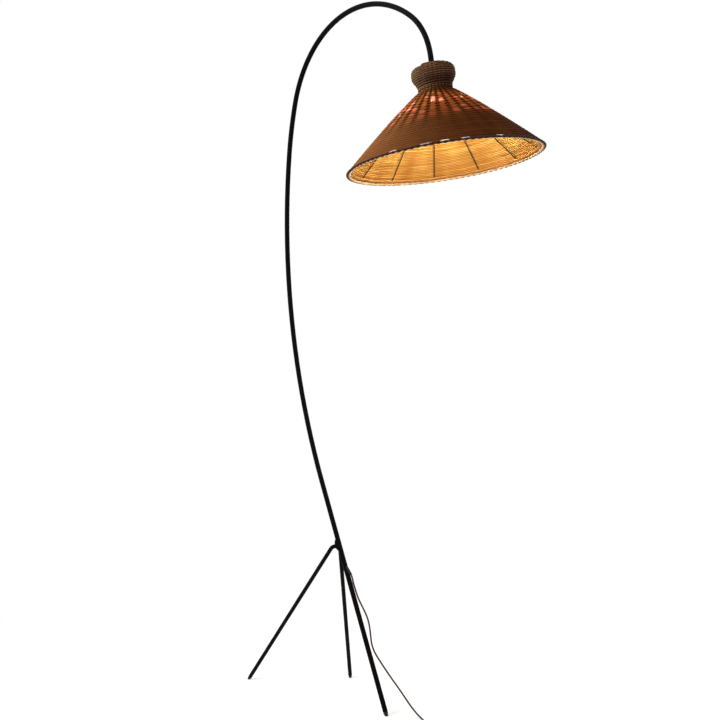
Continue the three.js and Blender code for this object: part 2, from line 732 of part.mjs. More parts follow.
// The coil's centreline: it spirals in over the floor, climbs a layer in the half turn where
// the spiral reverses, and spirals out on top. It turns clockwise seen from above.
class CoilCurve extends THREE.Curve {
  constructor() {
    super();
    this.turns = COIL.turns * 2 + 0.5;
    this.loops = Math.round(this.turns * COIL.steps);
    this.steps = this.loops + 2;
    this.low = TIE.thick + GAP + CORD.radius;
  }

  onSpiral(turn) {
    const half = this.turns / 2;
    const spread = Math.abs(turn - half) - 0.25;
    const radius = COIL.middle + (spread - COIL.turns / 2) * coilPitch;
    const climb = THREE.MathUtils.clamp((turn - half) * 2 + 0.5, 0, 1);
    const layer = (1 - Math.cos(Math.PI * climb)) / 2;
    const angle = Math.PI / 2 - turn * Math.PI * 2;
    return vec(
      COIL.x + radius * Math.cos(angle),
      COIL.y + radius * Math.sin(angle),
      this.low + coilPitch * layer,
    );
  }

  // The first and last steps are straight for one diameter of the cord.
  getPoint(t) {
    const step = t * this.steps - 1;
    const lead = vec(CORD.radius * 2, 0, 0);
    if (step < 0) return this.onSpiral(0).addScaledVector(lead, step);
    if (step > this.loops) return this.onSpiral(this.turns).addScaledVector(lead, step - this.loops);
    return this.onSpiral(step / COIL.steps);
  }

  getPointAt(u) {
    return this.getPoint(u);
  }

  getTangentAt(u) {
    if (u <= 0 || u >= 1) return vec(1, 0, 0);
    return this.getTangent(u);
  }
}

// The least gap between two stretches of the coil that are half a turn or more apart.
function leastGap(curve) {
  const points = curve.getSpacedPoints(curve.steps);
  const apart = COIL.steps / 2;
  let least = Infinity;
  for (let i = 0; i < points.length; i++)
    for (let j = i + apart; j < points.length; j++)
      least = Math.min(least, points[i].distanceTo(points[j]));
  return least - CORD.radius * 2;
}

// A free stretch of cord through points chosen by hand, straight for a lead at both of its ends.
function cordStretch(name, from, fromWay, route, to, toWay) {
  const points = [
    from,
    from.clone().addScaledVector(fromWay, CORD_LEAD),
    ...route.map(([x, y, z]) => vec(x, y, z)),
    to.clone().addScaledVector(toWay, -CORD_LEAD),
    to,
  ];
  const curve = new THREE.CatmullRomCurve3(points, false, "centripetal");
  const steps = Math.ceil(curve.getLength() / (CORD.radius * 2 * CORD_STEP_SHARE));
  return piece(name, sweep(discShape(CORD.radius, CORD.sides), curve, steps), "cord");
}

function coilTie() {
  const coil = new CoilCurve();
  const reach = (COIL.turns * coilPitch) / 2 + CORD.radius + TIE.slack;
  const roof = coil.low + coilPitch + CORD.radius + GAP;
  const loop = outlineShape([
    [-reach - TIE.thick, 0],
    [reach + TIE.thick, 0],
    [reach + TIE.thick, roof + TIE.thick],
    [-reach - TIE.thick, roof + TIE.thick],
  ]);
  const inside = outlineShape([[-reach, TIE.thick], [reach, TIE.thick], [reach, roof], [-reach, roof]]);
  loop.holes.push(inside);
  const strap = extrude(loop, TIE.wide).translate(COIL.middle, 0, -TIE.wide / 2);
  strap.rotateX(Math.PI / 2).rotateZ(deg(TIE.angle)).translate(COIL.x, COIL.y, 0);
  return piece("cord_tie", strap, "rubber");
}

// In-line switch. Its own X runs along the cord, and its underside lies on the floor.

const rockerCorner = Math.hypot(ROCKER.half, ROCKER.rise);
const rockerPocket = rockerCorner + GAP;
const pocketFloor = ROCKER.pivot - ROCKER.drop - rockerCorner * Math.sin(deg(ROCKER.throw)) - GAP * 2;

function switchOutline() {
  const { length, width, end } = SWITCH;
  const shoulder = length / 2 - width / 2;
  return outlineShape([
    [-length / 2, -end / 2],
    [-shoulder, -width / 2],
    [shoulder, -width / 2],
    [length / 2, -end / 2],
    [length / 2, end / 2],
    [shoulder, width / 2],
    [-shoulder, width / 2],
    [-length / 2, end / 2],
  ]);
}

function rockerPocketBlock() {
  const block = new THREE.BoxGeometry(rockerPocket * 2, ROCKER.wide + GAP * 2, OVERRUN);
  return block.translate(0, 0, pocketFloor + OVERRUN / 2);
}

function switchScrews() {
  const top = SWITCH.seam + SCREW.bite;
  return [-1, 1].map((side, index) => {
    const shape = revolve(
      [
        [0, GAP],
        [SCREW.head, GAP],
        [SCREW.head, GAP + SCREW.headThick],
        [SCREW.shank, GAP + SCREW.headThick],
        [SCREW.shank, top],
        [0, top],
      ],
      SCREW.sides,
    );
    shape.translate(side * SCREW.x, side * SCREW.y, 0);
    return piece(`switch_screw_${index + 1}`, shape, "steel");
  });
}

// The room that the two screws need: a counterbored hole through the base, blind in the cover.
function screwHoles() {
  const wide = boreOf(SCREW.head + GAP, SCREW.sides);
  const narrow = boreOf(SCREW.shank + GAP, SCREW.sides);
  const shoulder = SCREW.headThick + GAP * 2;
  const top = SWITCH.seam + SCREW.bite + GAP;
  return [-1, 1].map((side) => {
    const profile = [
      [0, -OVERRUN],
      [wide, -OVERRUN],
      [wide, shoulder],
      [narrow, shoulder],
      [narrow, top],
      [0, top],
    ];
    return revolve(profile, SCREW.sides).translate(side * SCREW.x, side * SCREW.y, 0);
  });
}

function switchBase() {
  const body = chamferedExtrude(switchOutline(), SWITCH.seam - GAP, SWITCH.chamfer);
  return piece("switch_base", cut(body, ...screwHoles(), rockerPocketBlock()), "blackPlastic");
}

// A rocker's stub axle, grown by a clearance for the hole that it turns in.
function stubAxle(grow = 0) {
  const length = ROCKER.wide + (STUB.length + grow) * 2;
  const radius = grow ? boreOf(STUB.radius + grow, STUB.sides) : STUB.radius;
  const axle = cylinder(radius, -length / 2, length / 2, STUB.sides);
  return axle.rotateX(Math.PI / 2).translate(0, 0, ROCKER.pivot);
}

function switchCover() {
  const depth = SWITCH.height - SWITCH.seam;
  const body = chamferedExtrude(switchOutline(), depth, SWITCH.chamfer).translate(0, 0, SWITCH.seam);
  const shape = cut(body, ...screwHoles(), rockerPocketBlock(), stubAxle(GAP));
  return piece("switch_cover", shape, "blackPlastic");
}

// The rocker rests pressed down at its +X end.
function switchRocker() {
  const profile = outlineShape([
    [-ROCKER.half, -ROCKER.drop],
    [ROCKER.half, -ROCKER.drop],
    [ROCKER.half, ROCKER.rise],
    [0, ROCKER.dish],
    [-ROCKER.half, ROCKER.rise],
  ]);
  const slab = extrude(profile, ROCKER.wide).translate(0, 0, -ROCKER.wide / 2);
  slab.rotateX(Math.PI / 2).rotateY(deg(ROCKER.throw)).translate(0, 0, ROCKER.pivot);
  return piece("switch_rocker", join(slab, stubAxle()), "blackPlastic");
}

function inlineSwitch() {
  const group = groupOf(switchBase(), switchCover(), switchRocker(), switchScrews());
  group.position.set(SWITCH.x, SWITCH.y, 0);
  group.rotation.z = -Math.PI / 2;
  return group;
}

// Plug. Its own X runs from the cord to the pins, and it lies flat on the floor.

function plugBody() {
  const { length, width, back, height, flare, chamfer } = PLUG;
  const outline = outlineShape([
    [0, -back / 2],
    [flare, -back / 2],
    [length - flare, -width / 2],
    [length, -width / 2],
    [length, width / 2],
    [length - flare, width / 2],
    [flare, back / 2],
    [0, back / 2],
  ]);
  const body = chamferedExtrude(outline, height, chamfer);
  const holes = [-1, 1].map((side) => {
    const bore = boreOf(PIN.radius + GAP, PIN.sides);
    const hole = cylinder(bore, length - PIN.seated - GAP, length + OVERRUN, PIN.sides);
    return hole.rotateY(Math.PI / 2).translate(0, (side * PIN.spacing) / 2, height / 2);
  });
  return piece("plug_body", cut(body, ...holes), "blackPlastic");
}

function plugPins() {
  const from = PLUG.length - PIN.seated;
  const to = PLUG.length + PIN.length;
  return [-1, 1].map((side, index) => {
    const profile = [
      [0, from],
      [PIN.radius, from],
      [PIN.radius, to - PIN.round],
      [PIN.radius - PIN.round, to],
      [0, to],
    ];
    const pin = revolve(profile, PIN.sides).rotateY(Math.PI / 2);
    pin.translate(0, (side * PIN.spacing) / 2, PLUG.height / 2);
    return piece(`plug_pin_${index + 1}`, pin, "steel");
  });
}

function plugRelief() {
  const profile = [
    [0, -GAP],
    [RELIEF.wide, -GAP],
    [RELIEF.narrow, -RELIEF.length],
    [0, -RELIEF.length],
  ];
  const cone = revolve(profile, PIN.sides).rotateY(Math.PI / 2).translate(0, 0, PLUG.height / 2);
  return piece("plug_relief", cone, "rubber");
}

function plug() {
  const group = groupOf(plugBody(), plugPins(), plugRelief());
  group.position.set(PLUG.x, PLUG.y, 0);
  group.rotation.z = Math.PI;
  return group;
}

function cord() {
  const coil = new CoilCurve();
  console.log(`least gap between the coil's turns: ${leastGap(coil).toFixed(2)} mm`);
  const away = vec(1, 0, 0);
  const { end, way } = outletAxis();
  const start = end.clone().addScaledVector(way, GAP);
  const entry = coil.getPoint(0).addScaledVector(away, -GAP);
  const leave = coil.getPoint(1).addScaledVector(away, GAP);
  const switchIn = vec(SWITCH.x, SWITCH.y + SWITCH.length / 2 + GAP, SWITCH.seam);
  const switchOut = vec(SWITCH.x, SWITCH.y - SWITCH.length / 2 - GAP, SWITCH.seam);
  const plugIn = vec(PLUG.x + RELIEF.length + GAP, PLUG.y, PLUG.height / 2);
  const down = ASIDE.clone().negate();
  const back = away.clone().negate();
  return [
    cordStretch("cord_drop", start, way, DROP_ROUTE, entry, away),
    piece("cord_coil", sweep(discShape(CORD.radius, COIL.sides), coil), "cord"),
    coilTie(),
    cordStretch("cord_link", leave, away, LINK_ROUTE, switchIn, down),
    cordStretch("cord_tail", switchOut, down, TAIL_ROUTE, plugIn, back),
    inlineSwitch(),
    plug(),
  ];
}

// The lamp without its free cord stands with its box's middle over the origin.
const stand = groupOf(
  pole(),
  rearLegs(),
  weldBead("weld_left", -1),
  weldBead("weld_right", 1),
  footTips(),
  cableBush(),
  innerCable(),
  head(),
);
stand.updateMatrixWorld(true);
const middle = new THREE.Box3().setFromObject(stand, true).getCenter(vec(0, 0, 0));
const lamp = groupOf(stand, groupOf(cord()));
lamp.position.set(-middle.x, -middle.y, 0);

export default lamp;
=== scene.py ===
"""An arched floor lamp with a woven rattan shade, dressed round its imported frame.

Lengths are in metres and angles in degrees, +Z is up, and the arch reaches towards +X. A size is
a field of the class that builds with it, and the places of the pieces follow from those sizes and
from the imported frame.
"""

import logging
import math
from collections.abc import Mapping, Sequence
from dataclasses import dataclass, field
from enum import Enum

import bmesh
import bpy
import numpy as np
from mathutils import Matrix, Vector


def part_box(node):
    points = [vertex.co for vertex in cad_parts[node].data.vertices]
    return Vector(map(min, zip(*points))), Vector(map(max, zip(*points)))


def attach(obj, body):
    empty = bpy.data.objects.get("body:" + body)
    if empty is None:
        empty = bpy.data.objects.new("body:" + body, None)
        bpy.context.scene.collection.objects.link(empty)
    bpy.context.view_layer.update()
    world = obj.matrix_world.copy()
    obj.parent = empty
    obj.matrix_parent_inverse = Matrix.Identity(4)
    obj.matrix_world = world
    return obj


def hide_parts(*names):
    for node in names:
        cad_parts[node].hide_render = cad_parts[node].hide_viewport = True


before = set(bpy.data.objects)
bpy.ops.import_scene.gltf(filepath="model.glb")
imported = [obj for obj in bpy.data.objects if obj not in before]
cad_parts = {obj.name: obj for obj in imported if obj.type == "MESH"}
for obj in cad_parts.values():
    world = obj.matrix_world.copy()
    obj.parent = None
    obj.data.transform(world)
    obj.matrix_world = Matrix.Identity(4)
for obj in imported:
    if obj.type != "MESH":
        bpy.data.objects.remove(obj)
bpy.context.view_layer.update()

Array = np.ndarray
Colour = tuple[float, float, float]
Point = tuple[float, float, float]
Corners = Sequence[tuple[float, float]]

log = logging.getLogger("lamp")

TURN = 2 * math.pi
X_AXIS, Y_AXIS, Z_AXIS = np.eye(3)
PLUG_BACK_X = 0.309  # the plug's back face in the frame that the sizes below are written in


class Body(Enum):
    """The bodies that pieces ride on."""

    LAMP = "lamp"
    BULB = "bulb"
    ROCKER = "rocker"


class Slot(Enum):
    """The record's material slots."""

    BLACK_METAL = "black_metal"
    DARK_WIRE = "dark_wire"
    BARE_STEEL = "bare_steel"
    BRASS = "brass"
    ALUMINIUM = "aluminium"
    RUBBER = "rubber"
    BLACK_PLASTIC = "black_plastic"
    CERAMIC = "ceramic"
    OPAL_GLASS = "opal_glass"
    RATTAN = "rattan"
    OLIVE_RATTAN = "olive_rattan"
    DARK_RATTAN = "dark_rattan"
    CORD_SHEATH = "cord_sheath"


# Shader maths


class Term:
    """An output socket that Python's arithmetic extends with Math nodes."""

    def __init__(self, tree: "NodeTree", socket: bpy.types.NodeSocket) -> None:
        """Holds the socket and the tree that it is in."""
        self.tree = tree
        self.socket = socket

    def __add__(self, other: "Term | float") -> "Term":
        """The sum."""
        return self.tree.maths("ADD", self, other)

    __radd__ = __add__

    def __sub__(self, other: "Term | float") -> "Term":
        """The difference."""
        return self.tree.maths("SUBTRACT", self, other)

    def __rsub__(self, other: float) -> "Term":
        """The difference, with this term taken away."""
        return self.tree.maths("SUBTRACT", other, self)

    def __mul__(self, other: "Term | float") -> "Term":
        """The product."""
        return self.tree.maths("MULTIPLY", self, other)

    __rmul__ = __mul__

    def clamped(self) -> "Term":
        """This term kept between 0 and 1."""
        return self.tree.maths("ADD", self, 0.0, use_clamp=True)


class NodeTree:
    """A material's or the world's nodes, made by one general method."""

    def __init__(self, owner: bpy.types.Material | bpy.types.World) -> None:
        """Empties the owner's tree.

        Args:
            owner: The material or the world whose nodes these are.
        """
        owner.use_nodes = True
        self.tree = owner.node_tree
        self.tree.nodes.clear()

    def node(
        self,
        kind: str,
        inputs: Mapping[str | int, object] | None = None,
        settings: Mapping[str, object] | None = None,
        output: str | int = 0,
    ) -> Term:
        """Adds a node, sets it, and fills or links its sockets.

        Args:
            kind: The node's type name.
            inputs: Values or terms by the sockets' names or numbers.
            settings: The node's own properties, which are set first.
            output: The name or number of the output that the result stands for.

        Returns:
            The output as a term.
        """
        made = self.tree.nodes.new(kind)
        for key, value in (settings or {}).items():
            setattr(made, key, value)
        for key, value in (inputs or {}).items():
            if isinstance(value, Term):
                self.tree.links.new(value.socket, made.inputs[key])
            else:
                made.inputs[key].default_value = value
        return Term(self, made.outputs[output] if made.outputs else None)

    def maths(self, operation: str, a: object, b: object, use_clamp: bool = False) -> Term:
        """A Math node on two values or terms."""
        settings = {"operation": operation, "use_clamp": use_clamp}
        return self.node("ShaderNodeMath", {0: a, 1: b}, settings)

    def smooth(self, value: Term, low: float, high: float) -> Term:
        """0 below low, 1 above high, and a smooth step between them."""
        inputs = {"Value": value, "From Min": low, "From Max": high}
        return self.node("ShaderNodeMapRange", inputs, {"interpolation_type": "SMOOTHSTEP"})

    def mixed(self, low: object, high: object, share: Term) -> Term:
        """A colour between two, by a share."""
        inputs = {0: share, 6: self._rgba(low), 7: self._rgba(high)}
        return self.node("ShaderNodeMix", inputs, {"data_type": "RGBA"}, output=2)

    @staticmethod
    def _rgba(colour: object) -> object:
        """A written colour with its alpha, or the term unchanged."""
        return colour if isinstance(colour, Term) else (*colour, 1.0)

    def place(self) -> Term:
        """The object's own coordinates."""
        return self.node("ShaderNodeTexCoord", output="Object")

    def value_of(self, name: str) -> Term:
        """A number kept at the mesh's points."""
        return self.node("ShaderNodeAttribute", settings={"attribute_name": name}, output="Fac")

    def vector_of(self, name: str) -> Term:
        """A vector kept at the mesh's points."""
        return self.node("ShaderNodeAttribute", settings={"attribute_name": name}, output="Vector")

    def stretched(self, vector: Term, scale: Point) -> Term:
        """A vector multiplied by a scale along each axis."""
        return self.node("ShaderNodeVectorMath", {0: vector, 1: scale}, {"operation": "MULTIPLY"})

    def noise(self, vector: Term, scale: float, detail: float = 3.0) -> Term:
        """Noise from 0 to 1 at a scale per metre."""
        inputs = {"Vector": vector, "Scale": scale, "Detail": detail}
        return self.node("ShaderNodeTexNoise", inputs)

    def bump(self, height: Term, distance: float) -> Term:
        """A normal from a height that reaches to a distance."""
        return self.node("ShaderNodeBump", {"Height": height, "Distance": distance})


# Finishes


@dataclass(frozen=True)
class Finish:
    """A plain finish: two near colours that drift into each other, with a fine grain."""

    name: str
    slot: Slot
    light: Colour
    dark: Colour
    roughness: float
    metallic: float = 0.0
    specular: float = 0.5
    drift_scale: float = 18.0
    grain_scale: float = 900.0
    grain_depth: float = 0.00003
    grain_share: float = 0.3
    roughness_spread: float = 0.12

    def material(self) -> bpy.types.Material:
        """The finish's material, made once.

        Returns:
            The material.
        """
        made = bpy.data.materials.get(self.name)
        if made is None:
            made = bpy.data.materials.new(self.name)
            tree = NodeTree(made)
            tree.node("ShaderNodeOutputMaterial", {"Surface": self.surface(tree)})
        return made

    def surface(self, tree: NodeTree) -> Term:
        """The shader: everything that varies goes to colour, roughness and normal.

        Args:
            tree: The material's nodes.

        Returns:
            The shader.
        """
        drift = tree.noise(tree.place(), self.drift_scale)
        grain = tree.noise(tree.place(), self.grain_scale)
        share = (drift * (1 - self.grain_share) + grain * self.grain_share).clamped()
        return self.shader(
            tree,
            colour=tree.mixed(self.dark, self.light, share),
            roughness=grain * self.roughness_spread + (self.roughness - self.roughness_spread / 2),
            normal=tree.bump(grain, self.grain_depth),
        )

    def shader(
        self,
        tree: NodeTree,
        colour: Term,
        roughness: Term,
        normal: Term,
        extras: Mapping[str, object] | None = None,
    ) -> Term:
        """A Principled shader with the finish's constants on its own sockets.

        Args:
            tree: The material's nodes.
            colour: What goes to the base colour.
            roughness: What goes to the roughness.
            normal: What goes to the normal.
            extras: More sockets, by name.

        Returns:
            The shader.
        """
        inputs = {
            "Base Color": colour,
            "Roughness": roughness,
            "Normal": normal,
            "Metallic": self.metallic,
            "Specular IOR Level": self.specular,
            **(extras or {}),
        }
        return tree.node("ShaderNodeBsdfPrincipled", inputs)


@dataclass(frozen=True)
class Paint(Finish):
    """Satin paint on steel: a faint orange peel, and dull rubbed places."""

    grain_share: float = 0.2
    peel_scale: float = 260.0
    peel_detail: float = 2.0
    peel_depth: float = 0.00005
    peel_roughness: float = 0.06
    rub_scale: float = 30.0
    rub_detail: float = 6.0
    rub_span: tuple[float, float] = (0.52, 0.72)
    rub_share: float = 0.7

    def surface(self, tree: NodeTree) -> Term:
        """The paint lightens a little and turns dull where it is rubbed.

        Args:
            tree: The material's nodes.

        Returns:
            The shader.
        """
        peel = tree.noise(tree.place(), self.peel_scale, self.peel_detail)
        rubbing = tree.noise(tree.place(), self.rub_scale, self.rub_detail)
        rubbed = tree.smooth(rubbing, *self.rub_span)
        grain = tree.noise(tree.place(), self.grain_scale)
        share = (rubbed * self.rub_share + grain * self.grain_share).clamped()
        rough = rubbed * self.roughness_spread + peel * self.peel_roughness + self.roughness
        height = peel * (1 - self.grain_share) + grain * self.grain_share
        return self.shader(
            tree,
            colour=tree.mixed(self.dark, self.light, share),
            roughness=rough,
            normal=tree.bump(height, self.peel_depth),
        )


@dataclass(frozen=True)
class Reed(Finish):
    """Rattan reed: fibres run along each strand, and the strands differ in tone.

    The meshes carry what it reads: "rod" is a point's place in its strand pulled straight,
    "tone" differs from crossing to crossing, "inner" is 1 on the side that faces the bulb,
    "rise" goes from 0 at the rim to 1 at the waist, "groove" is 1 where two rows meet, the
    painted shade of the crease, "stake_shade" is 1 over a stake, the painted shade of the
    valley there, "glow" is 1 where the bulb's light comes through thin reed, painted as the
    reed's own emission, "bare" is 1 on near-white dashes of painted light along the lowest
    row, and "lightened" is 1 on the side that is painted paler and redder, a painted light.
    """

    fibre_weight: float = 0.75
    tone_weight: float = 0.8
    blotch_weight: float = 0.6
    darkening: float = 0.6
    warm: Colour = (0.68, 0.148, 0.018)
    # painted light: the near-white colour of the dashes along the lowest row
    bare: Colour = (0.97, 0.90, 0.81)
    # painted light: the paler, redder colour of the side where more light falls
    lit_side_colour: Colour = (0.78, 0.30, 0.095)
    lit_side_share: float = 0.9
    lit_side_spread: float = 0.8
    lit_side_least: float = 0.35
    inner: Colour = (0.78, 0.66, 0.21)
    # painted light: the inner side turns this brighter orange towards the rim
    inner_rim: Colour = (0.98, 0.60, 0.17)
    inner_dark: Colour = (0.42, 0.19, 0.04)
    # painted glow: the reed's own emission where the bulb's light comes through it
    glow: Colour = (0.60, 0.11, 0.06)
    glow_high: Colour = (1.0, 0.42, 0.30)
    inner_lift: float = 0.25
    warm_share: float = 0.9
    warm_spread: float = 0.5
    warm_least: float = 0.6
    glow_span: tuple[float, float] = (0.55, 0.85)
    inner_span: tuple[float, float] = (0.35, 0.75)
    rim_span: tuple[float, float] = (0.0, 0.4)
    warm_span: tuple[float, float] = (0.32, 0.75)
    shaded_span: tuple[float, float] = (0.76, 0.96)
    valley_span: tuple[float, float] = (0.25, 0.7)
    waist_shade: float = 1.0
    # painted shade: how dark the creases between rows are painted
    groove_depth: float = 0.95
    # painted shade: how dark the valleys over the stakes are painted
    valley_depth: float = 1.0
    fibre_pitch: Point = (45.0, 1500.0, 1500.0)
    fibre_depth: float = 0.0001

    def surface(self, tree: NodeTree) -> Term:
        """Fibre, tone and height set the colour, and the inner side is the paler reed.

        Args:
            tree: The material's nodes.

        Returns:
            The shader.
        """
        fibre = tree.noise(tree.stretched(tree.vector_of("rod"), self.fibre_pitch), 1.0)
        blotch = tree.noise(tree.place(), self.drift_scale)
        tone, rise = tree.value_of("tone"), tree.value_of("rise")
        inner = tree.smooth(tree.value_of("inner"), *self.inner_span)
        share = fibre * self.fibre_weight + tone * self.tone_weight + blotch * self.blotch_weight
        share = (share - self.darkening).clamped()
        outside = tree.mixed(self.dark, self.light, share)
        # painted shade on the knob: its warm colour is nearly black, so this band darkens its lower
        # swell
        warmth = tree.smooth(rise, *self.warm_span) * (blotch * self.warm_spread + self.warm_least)
        warmth = warmth * (1 - tree.smooth(rise, *self.shaded_span) * self.waist_shade)
        outside = tree.mixed(outside, self.warm, (warmth * self.warm_share).clamped())
        # painted light: the side that faces one azimuth is painted paler and redder
        lightened = tree.value_of("lightened") * (fibre * self.lit_side_spread + self.lit_side_least)
        lightened = lightened * self.lit_side_share
        outside = tree.mixed(outside, self.lit_side_colour, lightened.clamped())
        # painted shade in the creases where two rows meet, on both sides of the weave
        groove = tree.value_of("groove") * self.groove_depth
        # painted shade in the valleys over the stakes, growing up the cone
        stake_shade = tree.value_of("stake_shade") * tree.smooth(rise, *self.valley_span)
        shade = (groove + stake_shade * self.valley_depth).clamped()
        outside = tree.mixed(outside, self.dark, shade)
        # painted light: near-white dashes along the lowest row
        outside = tree.mixed(outside, self.bare, tree.value_of("bare"))
        # painted light: the inner side is painted a brighter orange towards the rim
        pale = tree.mixed(self.inner_rim, self.inner, tree.smooth(rise, *self.rim_span))
        inside = tree.mixed(self.inner_dark, pale, (share + self.inner_lift - groove).clamped())
        # painted glow: emission on thin reed stands in for the bulb's light shining through, brighter
        # on lighter strands
        lit = tree.mixed(self.glow, self.glow_high, tree.smooth(tone, *self.glow_span))
        return self.shader(
            tree,
            colour=tree.mixed(outside, inside, inner),
            roughness=fibre * self.roughness_spread + (self.roughness - self.roughness_spread / 2),
            normal=tree.bump(fibre, self.fibre_depth),
            extras={
                "Emission Color": tree.mixed((0, 0, 0), lit, tree.value_of("glow")),
                "Emission Strength": 1.0,
            },
        )


@dataclass(frozen=True)
class OpalGlass(Finish):
    """Opal glass that is lit from inside."""

    glow: Colour = (0.96, 0.68, 0.34)
    strength: float = 48.0

    def surface(self, tree: NodeTree) -> Term:
        """Faintly uneven glass with an even glow.

        Args:
            tree: The material's nodes.

        Returns:
            The shader.
        """
        cloud = tree.noise(tree.place(), self.drift_scale)
        return self.shader(
            tree,
            colour=tree.mixed(self.dark, self.light, cloud),
            roughness=cloud * self.roughness_spread + self.roughness,
            normal=tree.bump(cloud, self.grain_depth),
            extras={"Emission Color": (*self.glow, 1.0), "Emission Strength": self.strength},
        )


BLACK_PAINT = Paint(
    "satin black paint", Slot.BLACK_METAL,
    light=(0.0036, 0.0023, 0.0019), dark=(0.0014, 0.0008, 0.0007), roughness=0.46,
    specular=0.045, roughness_spread=0.2,
)
DARK_WIRE = Paint(
    "dark lacquered wire", Slot.DARK_WIRE,
    light=(0.135, 0.050, 0.016), dark=(0.060, 0.022, 0.008), roughness=0.5,
    specular=0.3,
)
WRAPPED_WIRE = Paint(
    "reed-wrapped wire", Slot.DARK_WIRE,
    light=(0.78, 0.47, 0.18), dark=(0.48, 0.26, 0.09), roughness=0.55,
    specular=0.3,
)
CONE_REED = Reed(
    "stained reed", Slot.RATTAN,
    light=(0.150, 0.037, 0.0040), dark=(0.022, 0.0050, 0.0008), roughness=0.68,
    specular=0.02, roughness_spread=0.25,
)
# painted shade: the knob's warm colour is nearly black, and its span darkens the knob's lower swell
# up from the waist; its lit-side colour is a painted light
KNOB_REED = Reed(
    "olive reed", Slot.OLIVE_RATTAN,
    light=(0.310, 0.136, 0.050), dark=(0.012, 0.0045, 0.0030), roughness=0.66,
    specular=0.05, roughness_spread=0.25, warm=(0.040, 0.012, 0.010), warm_span=(1.19, 1.02),
    groove_depth=1.0, valley_depth=0.2, lit_side_colour=(0.42, 0.24, 0.11), waist_shade=0.0,
)
STAKE_REED = Reed(
    "dark stake reed", Slot.DARK_RATTAN,
    light=(0.080, 0.030, 0.010), dark=(0.020, 0.007, 0.003), roughness=0.66,
    specular=0.12, roughness_spread=0.25, inner=(0.52, 0.30, 0.09), inner_dark=(0.3, 0.14, 0.04),
)
# painted light: the border's inner colours are nearly white where its side towards the bulb is lit
BORDER_REED = Reed(
    "border reed", Slot.DARK_RATTAN,
    light=(0.050, 0.016, 0.008), dark=(0.012, 0.004, 0.002), roughness=0.62,
    specular=0.12, roughness_spread=0.25, inner=(0.98, 0.78, 0.48), inner_rim=(0.98, 0.74, 0.46),
    inner_dark=(0.60, 0.32, 0.14),
)
BARE_STEEL = Finish(
    "bare steel", Slot.BARE_STEEL,
    light=(0.62, 0.62, 0.63), dark=(0.46, 0.46, 0.47), roughness=0.3, metallic=1.0,
)
BRASS = Finish(
    "brass", Slot.BRASS,
    light=(0.75, 0.56, 0.25), dark=(0.58, 0.40, 0.15), roughness=0.3, metallic=1.0,
)
ALUMINIUM = Finish(
    "rolled aluminium", Slot.ALUMINIUM,
    light=(0.78, 0.78, 0.79), dark=(0.6, 0.6, 0.61), roughness=0.32, metallic=1.0,
)
RUBBER = Finish(
    "black rubber", Slot.RUBBER,
    light=(0.017, 0.016, 0.016), dark=(0.007, 0.007, 0.007), roughness=0.75,
    specular=0.2, grain_scale=1600.0, grain_depth=0.00005,
)
BLACK_PLASTIC = Finish(
    "black moulded plastic", Slot.BLACK_PLASTIC,
    light=(0.024, 0.023, 0.023), dark=(0.012, 0.012, 0.012), roughness=0.42,
    specular=0.4, grain_scale=2200.0, grain_depth=0.00004,
)
CERAMIC = Finish(
    "white ceramic", Slot.CERAMIC,
    light=(0.80, 0.78, 0.72), dark=(0.70, 0.67, 0.60), roughness=0.35,
    grain_depth=0.00002,
)
SHEATH = Finish(
    "brown cord sheath", Slot.CORD_SHEATH,
    light=(0.066, 0.028, 0.020), dark=(0.026, 0.010, 0.008), roughness=0.5,
    specular=0.25, drift_scale=60.0, grain_scale=1800.0, grain_depth=0.00006,
)
OPAL = OpalGlass(
    "lit opal glass", Slot.OPAL_GLASS,
    light=(0.95, 0.92, 0.86), dark=(0.88, 0.84, 0.76), roughness=0.3,
    drift_scale=30.0, grain_depth=0.00002,
)


# Geometry


def unit(vectors: Array) -> Array:
    """Vectors brought to length 1 along their last axis."""
    return vectors / np.linalg.norm(vectors, axis=-1, keepdims=True)


def smoothstep(values: Array, low: float, high: float) -> Array:
    """0 below low, 1 above high, and 3 s squared less 2 s cubed of the share between them."""
    share = np.clip((values - low) / (high - low), 0.0, 1.0)
    return share * share * (3 - 2 * share)


def drifting(places: Array, seed: int) -> Array:
    """Seeded values from -1 to 1 at whole numbers, eased into each other between them.

    Args:
        places: Where the values are wanted.
        seed: The seed of the random draws.

    Returns:
        A value for each place.
    """
    whole = np.floor(places).astype(int)
    values = np.random.default_rng(seed).uniform(-1, 1, whole.max() + 2)
    share = smoothstep(places - whole, 0.0, 1.0)
    return values[whole] * (1 - share) + values[whole + 1] * share


def bell(values: Array, width: float) -> Array:
    """A bell curve, 1 in the middle: e to the power of less the square of values over width."""
    return np.exp(-((values / width) ** 2))


def shares(values: Array) -> Array:
    """Values from -1 to 1 as shares from 0 to 1."""
    return 0.5 + 0.5 * values


def wave(turns: Array) -> Array:
    """0 at whole turns and 1 half way between them, by a cosine."""
    return shares(-np.cos(turns * TURN))


def travelled(points: Array) -> Array:
    """How far along the line through all the points each of them lies."""
    return np.concatenate([[0], np.cumsum(np.linalg.norm(np.diff(points, axis=0), axis=1))])


def resampled(line: Array, places: Array, wanted: Array) -> Array:
    """A line's points at other places along it, with each coordinate interpolated."""
    return np.stack([np.interp(wanted, places, column) for column in line.T], axis=-1)


def densified(profile: Array, rows: int) -> Array:
    """A profile with more rows, as many between any two of its points as between the next."""
    last = len(profile) - 1
    return resampled(profile, np.arange(last + 1), np.linspace(0, last, rows))


def stacked(*parts: Array) -> Array:
    """Arrays brought to one shape and set side by side along a last axis."""
    return np.stack(np.broadcast_arrays(*parts), axis=-1)


def spokes(azimuth: Array) -> Array:
    """Level unit vectors: the cosine and the sine of each azimuth."""
    return stacked(np.cos(azimuth), np.sin(azimuth), 0.0 * azimuth)


